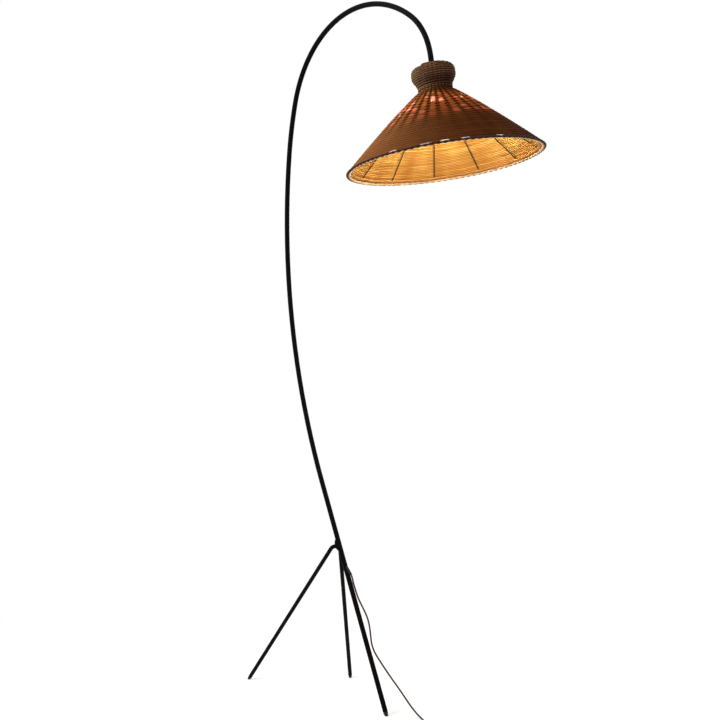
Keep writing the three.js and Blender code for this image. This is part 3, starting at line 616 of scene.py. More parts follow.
def ways_round(points: Array) -> Array:
    """Unit ways along a closed line, from the point behind each point to the one ahead."""
    return unit(np.roll(points, -1, axis=0) - np.roll(points, 1, axis=0))


def linked(name: str, data: bpy.types.ID) -> bpy.types.Object:
    """A new object in the scene.

    Args:
        name: The object's name.
        data: What it shows.

    Returns:
        The object.
    """
    made = bpy.data.objects.new(name, data)
    bpy.context.scene.collection.objects.link(made)
    return made


class Shell:
    """Grids of points gathered into one mesh, with values kept at the points."""

    def __init__(self) -> None:
        """Starts empty."""
        self.points: list[Array] = []
        self.quads: list[Array] = []
        self.triangles: list[Array] = []
        self.values: dict[str, list[Array]] = {}
        self.count = 0

    def grid(
        self,
        points: Array,
        closed_rows: bool = False,
        values: Mapping[str, Array] | None = None,
    ) -> "Shell":
        """Adds a grid whose columns close round, such as a tube or a turned shape.

        Each cell of rows i and columns j is one quad, wound so that it faces outwards when the
        columns run anticlockwise about the rows' direction. A fan round its middle closes each
        open end.

        Args:
            points: Places by row, column and axis.
            closed_rows: Whether the last row joins the first.
            values: Arrays by name that broadcast to rows by columns, with 3 axes for vectors.

        Returns:
            This shell.
        """
        rows, columns = points.shape[:2]
        last = rows if closed_rows else rows - 1
        i, j = np.meshgrid(np.arange(last), np.arange(columns), indexing="ij")
        here = self.count + i * columns
        beyond = self.count + (i + 1) % rows * columns
        along = (j + 1) % columns
        quads = np.stack([here + j, here + along, beyond + along, beyond + j], axis=-1)
        self.quads.append(quads.reshape(-1, 4))
        flat = points.reshape(-1, 3)
        kept = {
            name: np.broadcast_to(value, (rows, columns, *value.shape[2:]))
            for name, value in (values or {}).items()
        }
        kept = {name: value.reshape(rows * columns, -1) for name, value in kept.items()}
        if not closed_rows:
            ring = np.arange(columns)
            middle = self.count + len(flat)
            first = self.count + ring
            end = first + (rows - 1) * columns
            low = np.stack([np.full(columns, middle), np.roll(first, -1), first], axis=-1)
            high = np.stack([np.full(columns, middle + 1), end, np.roll(end, -1)], axis=-1)
            self.triangles += [low, high]
            flat = np.concatenate([flat, points[:1].mean(axis=1), points[-1:].mean(axis=1)])
            kept = {
                name: np.concatenate([value, value[:1], value[-1:]])
                for name, value in kept.items()
            }
        for name, value in kept.items():
            self.values.setdefault(name, []).append(value)
        self.points.append(flat)
        self.count += len(flat)
        return self

    def build(self, name: str) -> bpy.types.Object:
        """Makes the smooth-shaded object, with the values as point attributes.

        Args:
            name: The piece's name.

        Returns:
            The object.
        """
        mesh = bpy.data.meshes.new(name)
        faces = [face for block in (*self.quads, *self.triangles) for face in block.tolist()]
        mesh.from_pydata(np.concatenate(self.points), [], faces)
        for key, blocks in self.values.items():
            data = np.concatenate(blocks).astype(np.float32)
            kind, target = (
                ("FLOAT_VECTOR", "vector") if data.shape[1] == 3 else ("FLOAT", "value")
            )
            attribute = mesh.attributes.new(key, kind, "POINT")
            attribute.data.foreach_set(target, data.ravel())
        mesh.shade_smooth()
        return linked(name, mesh)


def section(across: float, deep: float, sides: int) -> tuple[Array, Array]:
    """The two offsets of an oval section: cosine times across, and sine times deep."""
    angle = np.arange(sides) / sides * TURN
    return across * np.cos(angle), deep * np.sin(angle)


def swept(centres: Array, first: Array, second: Array, offsets: tuple[Array, Array]) -> Array:
    """Points of a section carried along a path: centre + first * u + second * v in each row.

    Args:
        centres: The path's points.
        first: The direction of u at each point.
        second: The direction of v at each point.
        offsets: The section's u and v.

    Returns:
        Rows and columns of points.
    """
    u, v = offsets
    return (
        centres[:, None]
        + first[:, None] * u[None, :, None]
        + second[:, None] * v[None, :, None]
    )


def turned(profile: Array, sides: int, ripple: Array | float = 0.0) -> Array:
    """Points of a profile turned about Z: radius + ripple at each angle, and the height.

    A profile that climbs its outer side first faces outwards.

    Args:
        profile: Radii and heights by row.
        sides: How many columns go round.
        ripple: What is added to the radius, by row and column.

    Returns:
        Places by row, column and axis.
    """
    angle = np.arange(sides) / sides * TURN
    radius = profile[:, :1] + ripple
    return stacked(radius * np.cos(angle), radius * np.sin(angle), profile[:, 1:])


def rounded(corners: Corners, radius: float, steps: int = 4) -> Array:
    """A profile whose inner corners become arcs, no wider than half of either side.

    Each arc is drawn as a quadratic curve between the two points where it leaves the sides.

    Args:
        corners: The profile's points, with its two ends.
        radius: How far from a corner its arc begins.
        steps: The spans in an arc.

    Returns:
        The points of the rounded profile.
    """
    points = np.array(corners, float)
    rows = [points[:1]]
    share = np.linspace(0, 1, steps + 1)[:, None]
    for before, corner, after in zip(points[:-2], points[1:-1], points[2:]):
        back, ahead = before - corner, after - corner
        reach = min(radius, np.linalg.norm(back) / 2, np.linalg.norm(ahead) / 2)
        start, end = corner + unit(back) * reach, corner + unit(ahead) * reach
        rows.append((1 - share) ** 2 * start + 2 * share * (1 - share) * corner + share**2 * end)
    return np.concatenate([*rows, points[-1:]])


def closed_rounded(corners: Corners, radius: float) -> Array:
    """A closed profile with every corner rounded, for a hollow ring."""
    return rounded([corners[-1], *corners, corners[0]], radius)[1:-1]


def rectangle(across: tuple[float, float], up: tuple[float, float]) -> Corners:
    """A rectangle's corners from its low right one round the top, between two pairs of sides."""
    return [(across[1], up[0]), (across[1], up[1]), (across[0], up[1]), (across[0], up[0])]


class Route:
    """A path of straight runs and round bends, kept as points and headings."""

    def __init__(self, start: Sequence[float], heading: Sequence[float]) -> None:
        """Starts at a place with a heading."""
        self.points = [np.array([start], float)]
        self.headings = [unit(np.array([heading], float))]

    @property
    def tip(self) -> Array:
        """The last point."""
        return self.points[-1][-1]

    @property
    def heading(self) -> Array:
        """The last heading."""
        return self.headings[-1][-1]

    def run(self, length: float) -> "Route":
        """Goes straight on.

        Args:
            length: How far, in metres.

        Returns:
            This route.
        """
        self.points.append((self.tip + self.heading * length)[None])
        self.headings.append(self.heading[None])
        return self

    def bend(self, radius: float, axis: Sequence[float], degrees: float, step: float) -> "Route":
        """Turns about an axis: the spoke from the bend's centre is rotated step by step.

        Args:
            radius: The bend's radius.
            axis: The unit axis that it turns about.
            degrees: How far it turns.
            step: The most degrees between two points.

        Returns:
            This route.
        """
        axis = np.array(axis, float)
        side = np.cross(axis, self.heading)
        centre = self.tip + side * radius
        angle = np.radians(np.linspace(0, degrees, math.ceil(degrees / step) + 1))[1:, None]
        heading = self.heading
        self.points.append(centre - (side * np.cos(angle) - heading * np.sin(angle)) * radius)
        self.headings.append(heading * np.cos(angle) + side * np.sin(angle))
        return self

    def arrays(self) -> tuple[Array, Array]:
        """All points and headings."""
        return np.concatenate(self.points), np.concatenate(self.headings)


def tube(route: Route, normal: Sequence[float], radius: float, sides: int) -> Array:
    """Points of a round tube along a flat route whose plane has the given normal.

    Args:
        route: The tube's axis.
        normal: The normal of the axis's plane.
        radius: The tube's radius.
        sides: How many columns go round it.

    Returns:
        Rows and columns of points.
    """
    points, headings = route.arrays()
    first = np.broadcast_to(np.array(normal, float), points.shape)
    return swept(points, first, np.cross(headings, first), section(radius, radius, sides))


@dataclass(frozen=True)
class Placement:
    """Where a sub-assembly's own axes stand: an origin and three unit axes."""

    origin: Array
    x: Array
    y: Array
    z: Array

    @classmethod
    def along(cls, origin: Array, way: Array, aside: Sequence[float] = (0, 1, 0)) -> "Placement":
        """Own Z along a direction, and own Y as near to a second one as it can be.

        Args:
            origin: Where its own zero lies.
            way: Its own Z.
            aside: What its own Y keeps near to.

        Returns:
            The placement.
        """
        z = unit(np.array(way, float))
        x = unit(np.cross(np.array(aside, float), z))
        return cls(np.array(origin, float), x, np.cross(z, x), z)

    def out(self, local: Array) -> Array:
        """Own places as places in the lamp's frame.

        Args:
            local: Own places, in any number of rows.

        Returns:
            The places in the frame.
        """
        return (
            self.origin
            + local[..., :1] * self.x
            + local[..., 1:2] * self.y
            + local[..., 2:] * self.z
        )


# Placing pieces

MERGE_REACH = 0.00001
FLAT_ANGLE = math.radians(1)
SHARP_ANGLE = math.radians(32)
EDGE_SEGMENTS = 3


def eased(node: str, name: str, width: float) -> bpy.types.Object:
    """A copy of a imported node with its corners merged, its flats joined and its edges eased.

    Args:
        node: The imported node.
        name: The piece's name.
        width: How wide an eased edge is.

    Returns:
        The piece.
    """
    work = bmesh.new()
    work.from_mesh(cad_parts[node].data)
    bmesh.ops.remove_doubles(work, verts=work.verts, dist=MERGE_REACH)
    bmesh.ops.dissolve_limit(work, angle_limit=FLAT_ANGLE, verts=work.verts, edges=work.edges)
    mesh = bpy.data.meshes.new(name)
    work.to_mesh(mesh)
    work.free()
    mesh.shade_smooth()
    mesh.set_sharp_from_angle(angle=SHARP_ANGLE)
    made = linked(name, mesh)
    bevel = made.modifiers.new("eased edges", "BEVEL")
    bevel.width = width
    bevel.segments = EDGE_SEGMENTS
    bevel.limit_method = "ANGLE"
    bevel.angle_limit = SHARP_ANGLE
    bevel.harden_normals = True
    return made


def dress(
    piece: bpy.types.Object, finish: Finish, nodes: Sequence[str], body: Body = Body.LAMP
) -> bpy.types.Object:
    """Gives a new piece its finish and its body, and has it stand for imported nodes.

    Args:
        piece: The object, already in place.
        finish: Its finish.
        nodes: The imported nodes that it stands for.
        body: The body that it rides on.

    Returns:
        The piece.
    """
    piece.data.materials.clear()
    piece.data.materials.append(finish.material())
    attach(piece, body.value)
    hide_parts(*nodes)
    log.info("%s stands for %s, off its box by %.2f mm", piece.name, nodes[0], off(piece, nodes))
    return piece


def off(piece: bpy.types.Object, nodes: Sequence[str]) -> float:
    """How far a piece's box is from its nodes' box at the worst face, in millimetres.

    Args:
        piece: The piece.
        nodes: The nodes that it stands for.

    Returns:
        The distance.
    """
    view = bpy.context.evaluated_depsgraph_get()
    corners = np.array([tuple(c) for c in piece.evaluated_get(view).bound_box])
    boxes = [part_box(node) for node in nodes]
    low = np.min([tuple(low) for low, _ in boxes], axis=0)
    high = np.max([tuple(high) for _, high in boxes], axis=0)
    worst = max(abs(corners.min(0) - low).max(), abs(corners.max(0) - high).max())
    return float(worst) * 1000


def keep(node: str, finish: Finish) -> None:
    """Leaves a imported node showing, in its finish.

    Args:
        node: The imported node.
        finish: Its finish.
    """
    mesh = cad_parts[node].data
    mesh.materials.clear()
    mesh.materials.append(finish.material())
    log.info("%s keeps its packed shape", node)


def design_origin() -> Array:
    """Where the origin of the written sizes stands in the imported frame."""
    return np.array([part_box("plug_body")[1].x - PLUG_BACK_X, 0.0, 0.0])


# Stand


@dataclass
class Stand:
    """The pole with its hairpin rear legs, weld beads, foot tips and cable bush."""

    origin: Array
    radius: float = 0.006
    foot_x: float = 0.184
    lean: float = 114.8
    straight: float = 0.580
    bends: tuple[tuple[float, float], ...] = ((1.478, 32.0), (0.783, 9.0), (0.280, 105.1))
    crook_radius: float = 0.140
    crook_run: float = 0.014
    run_in_knob: float = 0.030
    waist_past_end: float = 0.0289
    tilt: float = 12.4
    rear_radius: float = 0.005
    rear_bend: float = 0.012
    rear_left: tuple[float, float] = (-0.2227, -0.1114)
    rear_back: tuple[float, float] = (-0.0635, 0.0947)
    joint_along: float = 0.420
    gap: float = 0.0003
    tip_head: float = 0.010
    tip_seat: float = 0.012
    tube_wall: float = 0.002
    tip_chamfer: float = 0.0008
    tip_narrow_share: float = 0.66
    weld_half: Point = (0.0044, 0.0036, 0.015)
    weld_aside: float = 0.0044
    weld_point: float = 1.5
    weld_sink: float = 0.0025
    weld_ripples: int = 9
    weld_ripple_share: float = 0.03
    weld_opening: float = 0.02
    weld_rows: int = 60
    weld_sides: int = 24
    outlet_along: float = 0.370
    outlet_angle: float = 25.0
    outlet_length: float = 0.024
    outlet_buried: float = 0.007
    bush_radius: float = 0.0035
    bush_bore: float = 0.0024
    bush_narrowing: float = 0.0005
    bush_grooves: tuple[float, float] = (0.0150, 0.0185)
    bush_groove_width: float = 0.0006
    bush_groove_depth: float = 0.00025
    bush_lip: float = 0.0003
    bush_rows: int = 40
    tip_rows: int = 96
    bend_step: float = 1.5
    hairpin_step: float = 6.0
    sides: int = 32

    def on_leg(self, along: float) -> tuple[Array, Array, Array]:
        """A point on the front leg's axis, the way up it, and the way out of its upper side.

        Args:
            along: How far up the leg.

        Returns:
            The point and the two directions.
        """
        angle = math.radians(self.lean)
        up = np.array([math.cos(angle), 0.0, math.sin(angle)])
        outward = np.array([math.sin(angle), 0.0, -math.cos(angle)])
        return self.origin + X_AXIS * self.foot_x + up * along, up, outward

    def pole_route(self, start: float) -> Route:
        """The pole's axis from a place on the front leg to its end in the lampholder.

        Args:
            start: How far up the front leg the axis begins.

        Returns:
            The route.
        """
        point, up, _ = self.on_leg(start)
        route = Route(point, up).run(self.straight - start)
        for radius, degrees in self.bends:
            route.bend(radius, Y_AXIS, degrees, self.bend_step)
        turned_so_far = sum(degrees for _, degrees in self.bends)
        last = self.lean + 90 - self.tilt - turned_so_far
        route.bend(self.crook_radius, Y_AXIS, last, self.bend_step)
        return route.run(self.crook_run + self.run_in_knob)

    def rear_route(self, start: float) -> tuple[Route, Array]:
        """The hairpin's axis from its left foot to its back foot, and its plane's normal.

        Args:
            start: How far up the left leg it begins, and above the back foot it ends.

        Returns:
            The route and the normal.
        """
        point, _, outward = self.on_leg(self.joint_along)
        crown = point - outward * (self.radius + self.rear_radius + self.gap)
        left, back = (self.origin + [x, y, 0.0] for x, y in (self.rear_left, self.rear_back))
        to_left, to_back = unit(left - crown), unit(back - crown)
        half = math.acos(float(to_left @ to_back)) / 2
        upward = -unit(to_left + to_back)
        corner = crown + upward * (self.rear_bend / math.sin(half) - self.rear_bend)
        rise, fall = corner - left, back - corner
        turn = math.acos(float(unit(rise) @ unit(fall)))
        tangent = self.rear_bend * math.tan(turn / 2)
        axis = unit(np.cross(rise, fall))
        route = Route(left + unit(rise) * start, rise)
        route.run(np.linalg.norm(rise) - tangent - start)
        route.bend(self.rear_bend, axis, math.degrees(turn), self.hairpin_step)
        return route.run(np.linalg.norm(fall) - tangent - start), axis

    def build(self) -> None:
        """Builds and dresses every piece of the stand."""
        pole = Shell().grid(tube(self.pole_route(self.tip_head), Y_AXIS, self.radius, self.sides))
        dress(pole.build("bent_pole"), BLACK_PAINT, ["pole"])
        route, normal = self.rear_route(self.tip_head)
        legs = Shell().grid(tube(route, normal, self.rear_radius, self.sides))
        dress(legs.build("hairpin_legs"), BLACK_PAINT, ["rear_legs"])
        for name, side in (("weld_left", -1), ("weld_right", 1)):
            dress(self.weld(side).build(f"bead_{name}"), BLACK_PAINT, [name])
        self.tips()
        self.bush()

    def weld(self, side: int) -> Shell:
        """A bead beside the crown: a pointed egg with a small ripple, whose ends sink to the pole.

        Height is the cosine of the polar angle, girth a power of its sine, and the sinking
        grows with the square of the height.

        Args:
            side: -1 for the left bead, 1 for the right one.

        Returns:
            The bead.
        """
        point, up, outward = self.on_leg(self.joint_along)
        centre = point - outward * (self.radius + self.gap) + Y_AXIS * side * self.weld_aside
        deep, wide, long = self.weld_half
        polar = np.linspace(self.weld_opening, math.pi - self.weld_opening, self.weld_rows)[:, None]
        angle = np.arange(self.weld_sides)[None] / self.weld_sides * TURN
        ripple = self.weld_ripple_share * (1 - np.cos(polar * self.weld_ripples * 2))
        girth = np.sin(polar) ** self.weld_point * (1 - ripple)
        sunk = np.cos(polar) ** 2 * self.weld_sink
        local = stacked(
            girth * np.cos(angle) * deep + sunk,
            girth * np.sin(angle) * wide,
            -np.cos(polar) * long,
        )
        return Shell().grid(Placement(centre, outward, Y_AXIS, up).out(local))

    def tips(self) -> None:
        """Three rubber tips: turned heads on spigots, whose parts under the floor slide up to it."""
        point, up, _ = self.on_leg(0)
        route, _ = self.rear_route(0)
        points, headings = route.arrays()
        feet = (
            ("foot_front", point, up, self.radius),
            ("foot_left", points[0], headings[0], self.rear_radius),
            ("foot_back", points[-1], -headings[-1], self.rear_radius),
        )
        head, end = self.tip_head - self.gap, self.tip_head + self.tip_seat
        for name, foot, way, radius in feet:
            narrow = radius * self.tip_narrow_share
            spigot = radius - self.tube_wall - self.gap
            corners = [
                (0.0, -self.tip_head),
                (narrow, -self.tip_head),
                (narrow, 0.0),
                (radius, head - self.tip_chamfer),
                (radius - self.tip_chamfer, head),
                (spigot, head),
                (spigot, end),
                (0.0, end),
            ]
            profile = densified(rounded(corners, self.tip_chamfer), self.tip_rows)
            places = Placement.along(foot, way).out(turned(profile, self.sides))
            under = np.minimum(places[..., 2:], 0.0)
            places = places - under / way[2] * way
            dress(Shell().grid(places).build(f"tip_{name}"), RUBBER, [name])

    def outlet(self) -> tuple[Array, Array]:
        """Where the bush starts inside the pole, and the way that it points.

        Returns:
            The point and the direction.
        """
        point, up, outward = self.on_leg(self.outlet_along)
        angle = math.radians(self.outlet_angle)
        way = -up * math.cos(angle) + outward * math.sin(angle)
        start = point + way * (self.radius / math.sin(angle) - self.outlet_buried)
        return start, way

    def bush(self) -> None:
        """The cable bush: a tapered sleeve with a soft lip and two shallow grooves."""
        start, way = self.outlet()
        heights = np.linspace(0, self.outlet_length, self.bush_rows)
        taper = smoothstep(heights, self.outlet_buried, self.outlet_length) * self.bush_narrowing
        width = self.bush_groove_width
        groove = sum(bell(heights - place, width) for place in self.bush_grooves)
        lip = smoothstep(heights, self.outlet_length - width, self.outlet_length) * self.bush_lip
        radius = self.bush_radius - taper - groove * self.bush_groove_depth - lip
        outer = np.stack([radius, heights], axis=-1)
        inner = np.array([[self.bush_bore, self.outlet_length], [self.bush_bore, 0.0]])
        ring = turned(np.concatenate([outer, inner]), self.sides)
        places = Placement.along(start, way).out(ring)
        dress(Shell().grid(places, closed_rows=True).build("outlet_bush"), RUBBER, ["cable_bush"])


# Shade


@dataclass
class ShadeWall:
    """The wall that stakes and weavers share: a cone, a waist and a knob, in its own axes.

    Places on it are given by the distance up its profile from the rim and by an azimuth.
    """

    rim: float = 0.214
    slope: float = 49.0
    waist: float = 0.0385
    collar: float = 0.0052
    knob: float = 0.049
    widest: float = 0.0275
    top: float = 0.0553
    hole: float = 0.0072
    fullness: float = 0.56
    belly: float = 0.0045
    flattening: float = 0.0012
    depth: float = 0.0029
    crease_azimuth: float = -130.0
    crease_offset: float = 0.0265
    crease_width: float = 0.0030
    crease_depth: float = 0.0018
    crease_span_shares: tuple[float, float] = (0.2, 1.2)
    crease_drop_share: float = 0.8
    slump_share: float = 0.07
    slump_ease: float = 0.003
    slump_from_share: float = 0.6
    cone_samples: int = 160
    swell_samples: int = 60
    samples: int = 400
    smoothings: int = 8
    profile: Array = field(init=False)
    distance: Array = field(init=False)
    normals: Array = field(init=False)

    def __post_init__(self) -> None:
        """Samples the profile, smooths its corner at the waist and sinks it to the wall's middle."""
        outer = np.concatenate([self._cone(), self._knob()])
        along = travelled(outer)
        even = np.linspace(0, along[-1], self.samples)
        line = resampled(outer, along, even)
        for _ in range(self.smoothings):
            line[1:-1] = (line[:-2] + 2 * line[1:-1] + line[2:]) / 4
        tangents = unit(np.gradient(line, axis=0))
        self.normals = np.stack([tangents[:, 1], -tangents[:, 0]], axis=-1)
        self.profile = line - self.normals * self.depth
        self.distance = even

    @property
    def rim_height(self) -> float:
        """The rim's height below the waist."""
        return (self.waist - self.rim) / math.tan(math.radians(self.slope)) - self.collar

    @property
    def waist_distance(self) -> float:
        """The distance up the profile to the waist."""
        return (self.rim - self.waist) / math.sin(math.radians(self.slope)) + self.collar

    def _cone(self) -> Array:
        """The cone's side from the rim up to the collar, swelled a little by a half sine.

        Returns:
            Radius and height in each row.
        """
        share = np.linspace(0, 1, self.cone_samples)
        radius = self.rim + (self.waist - self.rim) * share + self.belly * np.sin(math.pi * share)
        height = self.rim_height + (-self.collar - self.rim_height) * share
        return np.stack([radius, height], axis=-1)

    def _knob(self) -> Array:
        """The knob swells by a cosine to its widest, and a full-shouldered ellipse closes it.

        The fullness is the power of the cosine and the sine: 1 is a plain ellipse.

        Returns:
            Radius and height in each row.
        """
        low = np.linspace(0, 1, self.swell_samples)
        swell = self.waist + (self.knob - self.waist) * (1 - np.cos(math.pi * low)) / 2
        last = math.acos((self.hole / self.knob) ** (1 / self.fullness))
        angle = np.linspace(0, last, self.samples)[1:]
        radius = np.concatenate([swell, self.knob * np.cos(angle) ** self.fullness])
        rise = self.top - self.flattening - self.widest
        closing = self.widest + rise * np.sin(angle) ** self.fullness
        return np.stack([radius, np.concatenate([low * self.widest, closing])], axis=-1)

    def at(self, distance: Array, azimuth: Array) -> tuple[Array, Array, Array]:
        """Places on the wall's middle, with the ways up it and out of it.

        The knob is creased along a chord: a bell curve across the chord sinks the groove, and
        past it the shoulder slumps by a share of its height.

        Args:
            distance: How far up the profile from the rim.
            azimuth: Angles about the axis in radians.

        Returns:
            Places, upward unit vectors and outward unit vectors.
        """
        radius, height = resampled(self.profile, self.distance, distance).T
        level, upright = resampled(self.normals, self.distance, distance).T[..., None]
        past_chord = radius * np.cos(azimuth - math.radians(self.crease_azimuth)) - self.crease_offset
        begin, full = (self.widest * share for share in self.crease_span_shares)
        crease = bell(past_chord, self.crease_width) * smoothstep(height, begin, full)
        crease = crease * self.crease_depth
        above = np.maximum(height - self.widest * self.slump_from_share, 0.0)
        slump = above * smoothstep(past_chord, -self.slump_ease, self.slump_ease) * self.slump_share
        height = (height - slump - crease * self.crease_drop_share)[:, None]
        spoke = spokes(azimuth)
        outward = spoke * level + Z_AXIS * upright
        upward = Z_AXIS * level - spoke * upright
        return spoke * (radius - crease)[:, None] + Z_AXIS * height, upward, outward


class Draw(Enum):
    """What a weave's random rows are for, as steps past its seed."""

    WANDER = 0
    LOOSE_TONE = 3
    CROSSING_TONE = 5
    STREAK = 7
    PATCH = 9
    STAIN = 31


@dataclass(frozen=True)
class Weave:
    """How one skin is woven: its rows' spacing, and its strands' half section, swing and tones.

    The groove is where a strand's side starts to darken and where it is dark, as shares of its
    half width: shade painted into the crease between two rows.
    """

    pitch: float
    loose_pitch: float
    swing: float
    wide: float
    thick: float
    groove: tuple[float, float]
    streak: float
    seed: int

    def drift(self, draw: Draw, places: Array, strand: int = 0) -> Array:
        """Drifting values from -1 to 1 for one use and one strand."""
        return drifting(places, self.seed + draw.value + strand)


CONE_WEAVE = Weave(
    pitch=0.0043,
    loose_pitch=0.0058,
    swing=0.00065,
    wide=0.0026,
    thick=0.0016,
    groove=(0.30, 0.85),
    streak=0.55,
    seed=11,
)
KNOB_WEAVE = Weave(
    pitch=0.0050,
    loose_pitch=0.0050,
    swing=0.00030,
    wide=0.0032,
    thick=0.0021,
    groove=(0.20, 0.70),
    streak=0.40,
    seed=23,
)


@dataclass
class Shade:
    """The woven shade: stakes, two weavers up the cone, two up the knob, and a rolled border.

    Spans are pairs of where something begins and where it is full. Those of ridges and swing are
    shares of the way up from the rim to the waist.
    """

    placement: Placement
    wall: ShadeWall
    cone: Weave = CONE_WEAVE
    knob: Weave = KNOB_WEAVE
    stakes: int = 32
    stake_radius: float = 0.0011
    stake_start: float = -0.001
    stake_rows: int = 90
    stake_crowding_share: float = 0.9
    stake_wander: float = 0.012
    stake_wander_run: float = 0.03
    stake_wander_phase: float = 0.1
    stake_seed: int = 300
    stake_tone_seed: int = 77
    row_samples: int = 600
    level_turns: float = 1.5
    steps: int = 6
    strand_sides: int = 8
    first_row: float = 0.0022
    waist_overlap: float = 0.0006
    corner_reach: float = 0.006
    corner_fuller: float = 0.4
    hole_span: tuple[float, float] = (0.006, 0.026)
    ridge: float = 0.0003
    waist_ridge: float = 0.0018
    ridge_span: tuple[float, float] = (0.3, 0.75)
    ridge_end: tuple[float, float] = (0.9, 1.0)
    swing_span: tuple[float, float] = (0.3, 0.8)
    swing_least: float = 0.5
    loose_from: float = 0.020
    loose_to: float = 0.146
    loose_ease: float = 0.03
    loose_narrowing: float = 0.24
    loose_thinning: float = 0.144
    patch_height: float = 0.008
    patch_stride: int = 41
    patch_span: tuple[float, float] = (0.2, 0.55)
    bulge_span: tuple[float, float] = (0.1, 0.7)
    wander: float = 0.00018
    loose_wander: float = 0.0010
    wander_stitches: float = 1.5
    crossing_tone: float = 0.4
    loose_tone: float = 0.6
    streak_stitches: float = 9.0
    stain_tone: float = 0.7
    stain_height: float = 0.06
    stain_stride: int = 17
    # painted light: where the near-white dashes lie along the lowest row
    dash_rise: float = 0.0022
    dash_top_share: float = 0.8
    dash_azimuths: tuple[float, ...] = (-74, -54.5, -43.8, -32.6, -12, 35, 91, 158, 226)
    dash_half: float = 2.2
    dash_end_share: float = 0.75
    # painted light: the weave is painted paler and redder on the side facing this azimuth
    lit_side_azimuth: float = -135.0
    lit_side_power: int = 3
    # painted shade over the stakes: the power that narrows it
    valley_power: int = 3
    border_inset: float = 0.0034
    border_half: tuple[float, float] = (0.0037, 0.0012)
    border_drop: float = 0.0028
    border_strand: float = 0.0017
    border_reeds: int = 3
    border_turns: int = 32
    border_steps: int = 14
    border_tones: int = 40
    border_seed: int = 91
    border_lit_share: float = 0.54

    def build(self) -> None:
        """Builds and dresses every woven piece."""
        waist = self.wall.waist_distance
        cone = self.weavers(self.cone, self.first_row, waist + self.waist_overlap)
        dress(cone.build("cone_weavers"), CONE_REED, ["cone_weave"])
        knob = self.weavers(self.knob, waist - self.waist_overlap, self.top_row)
        dress(knob.build("knob_weavers"), KNOB_REED, ["knob_weave"])
        dress(self.uprights().build("shade_stakes"), STAKE_REED, ["stake_cage"])
        dress(self.border().build("rolled_border"), BORDER_REED, ["rim_border"])

    @property
    def top_row(self) -> float:
        """The last row's distance up the wall, where its strand just reaches the hole."""
        return self.wall.distance[-1] - self.knob.wide

    def looseness(self, distance: Array) -> Array:
        """How open the weave is: 1 in the band below the waist, easing to 0 outside it.

        Args:
            distance: How far up the wall each point is.

        Returns:
            The openness.
        """
        below = self.wall.waist_distance - distance
        entering = smoothstep(below, self.loose_from, self.loose_from + self.loose_ease)
        return entering * (1 - smoothstep(below, self.loose_to - self.loose_ease * 2, self.loose_to))

    def light_dashes(self, distance: Array, azimuth: Array) -> Array:
        """Where the lowest row has near-white dashes of painted light, in short stretches between
        stakes.

        Args:
            distance: How far up the wall each point is.
            azimuth: Each point's angle about the axis in radians.

        Returns:
            1 on a dash, falling to 0 at the stretches' ends and top.
        """
        spots = np.radians(self.dash_azimuths)[:, None]
        off_spot = np.abs((azimuth[None] - spots + math.pi) % TURN - math.pi).min(axis=0)
        half = math.radians(self.dash_half)
        height = distance - self.first_row
        above = smoothstep(height, self.dash_rise * self.dash_top_share, self.dash_rise)
        return (1 - smoothstep(off_spot, half * self.dash_end_share, half)) * (1 - above)

    def weavers(self, weave: Weave, low: float, high: float) -> Shell:
        """Two strands that wind up the wall together, each behind the stakes the other passes.

        A strand's row number grows by two a turn, and its distance up the wall is where the
        rows' count reaches it, kept level in the first turn and at the top.

        Args:
            weave: How the skin is woven.
            low: The first row's distance up the wall.
            high: The last row's.

        Returns:
            Both strands, with what their finish reads.
        """
        fine = np.linspace(low, high, self.row_samples)
        pitch = weave.pitch + (weave.loose_pitch - weave.pitch) * self.looseness(fine)
        count = np.concatenate([[0], np.cumsum(np.diff(fine) / pitch[:-1])])
        stitches = round((count[-1] / 2 + self.level_turns) * self.stakes)
        step = np.linspace(0, stitches, stitches * self.steps + 1)
        shell = Shell()
        for strand in (0, 1):
            row = (step / self.stakes - 1) * 2 + strand
            self.strand(shell, weave, strand, step, np.interp(row, count, fine))
        return shell

    def strand(
        self, shell: Shell, weave: Weave, strand: int, step: Array, distance: Array
    ) -> None:
        """One strand, swinging out of the wall and back as it passes the stakes.

        The swing is a cosine with one period over two stakes, the second strand's against the
        first's, and both bulge out between the stakes by a second cosine. In the loose band the
        strands are thin and wander between stakes wherever the random patches say.

        Args:
            shell: What it is added to.
            weave: How the skin is woven.
            strand: 0 or 1.
            step: How many stakes it has passed at each point.
            distance: How far up the wall each point is.
        """
        azimuth = step / self.stakes * TURN
        column = np.floor(step) % self.stakes
        between = wave(step)
        loose = self.looseness(distance)
        patch = weave.drift(Draw.PATCH, distance / self.patch_height + column * self.patch_stride)
        thin = loose * smoothstep(patch, *self.patch_span) * smoothstep(between, *self.bulge_span)
        wander = self.wander + (self.loose_wander - self.wander) * thin
        distance = distance + weave.drift(Draw.WANDER, step / self.wander_stitches, strand) * wander
        rise = distance / self.wall.waist_distance
        centres, up, outward = self.wall.at(distance, azimuth)
        ridge = self.ridge + (self.waist_ridge - self.ridge) * smoothstep(rise, *self.ridge_span)
        ridge = ridge * (1 - smoothstep(rise, *self.ridge_end))
        grown = smoothstep(rise, *self.swing_span)
        swing = weave.swing * (self.swing_least + (1 - self.swing_least) * grown)
        out = np.cos((step + strand) * math.pi) * swing + between * ridge
        out = out * smoothstep(np.hypot(centres[:, 0], centres[:, 1]), *self.hole_span)
        centres = centres + outward * out[:, None]
        fuller = 1 + (weave.loose_pitch / weave.pitch - 1) * loose
        corner = distance - self.wall.waist_distance + self.wall.collar
        fuller = fuller + self.corner_fuller * bell(corner, self.corner_reach)
        u, v = section(1.0, 1.0, self.strand_sides)
        wide = u * (weave.wide * (1 - self.loose_narrowing * thin) * fuller)[:, None]
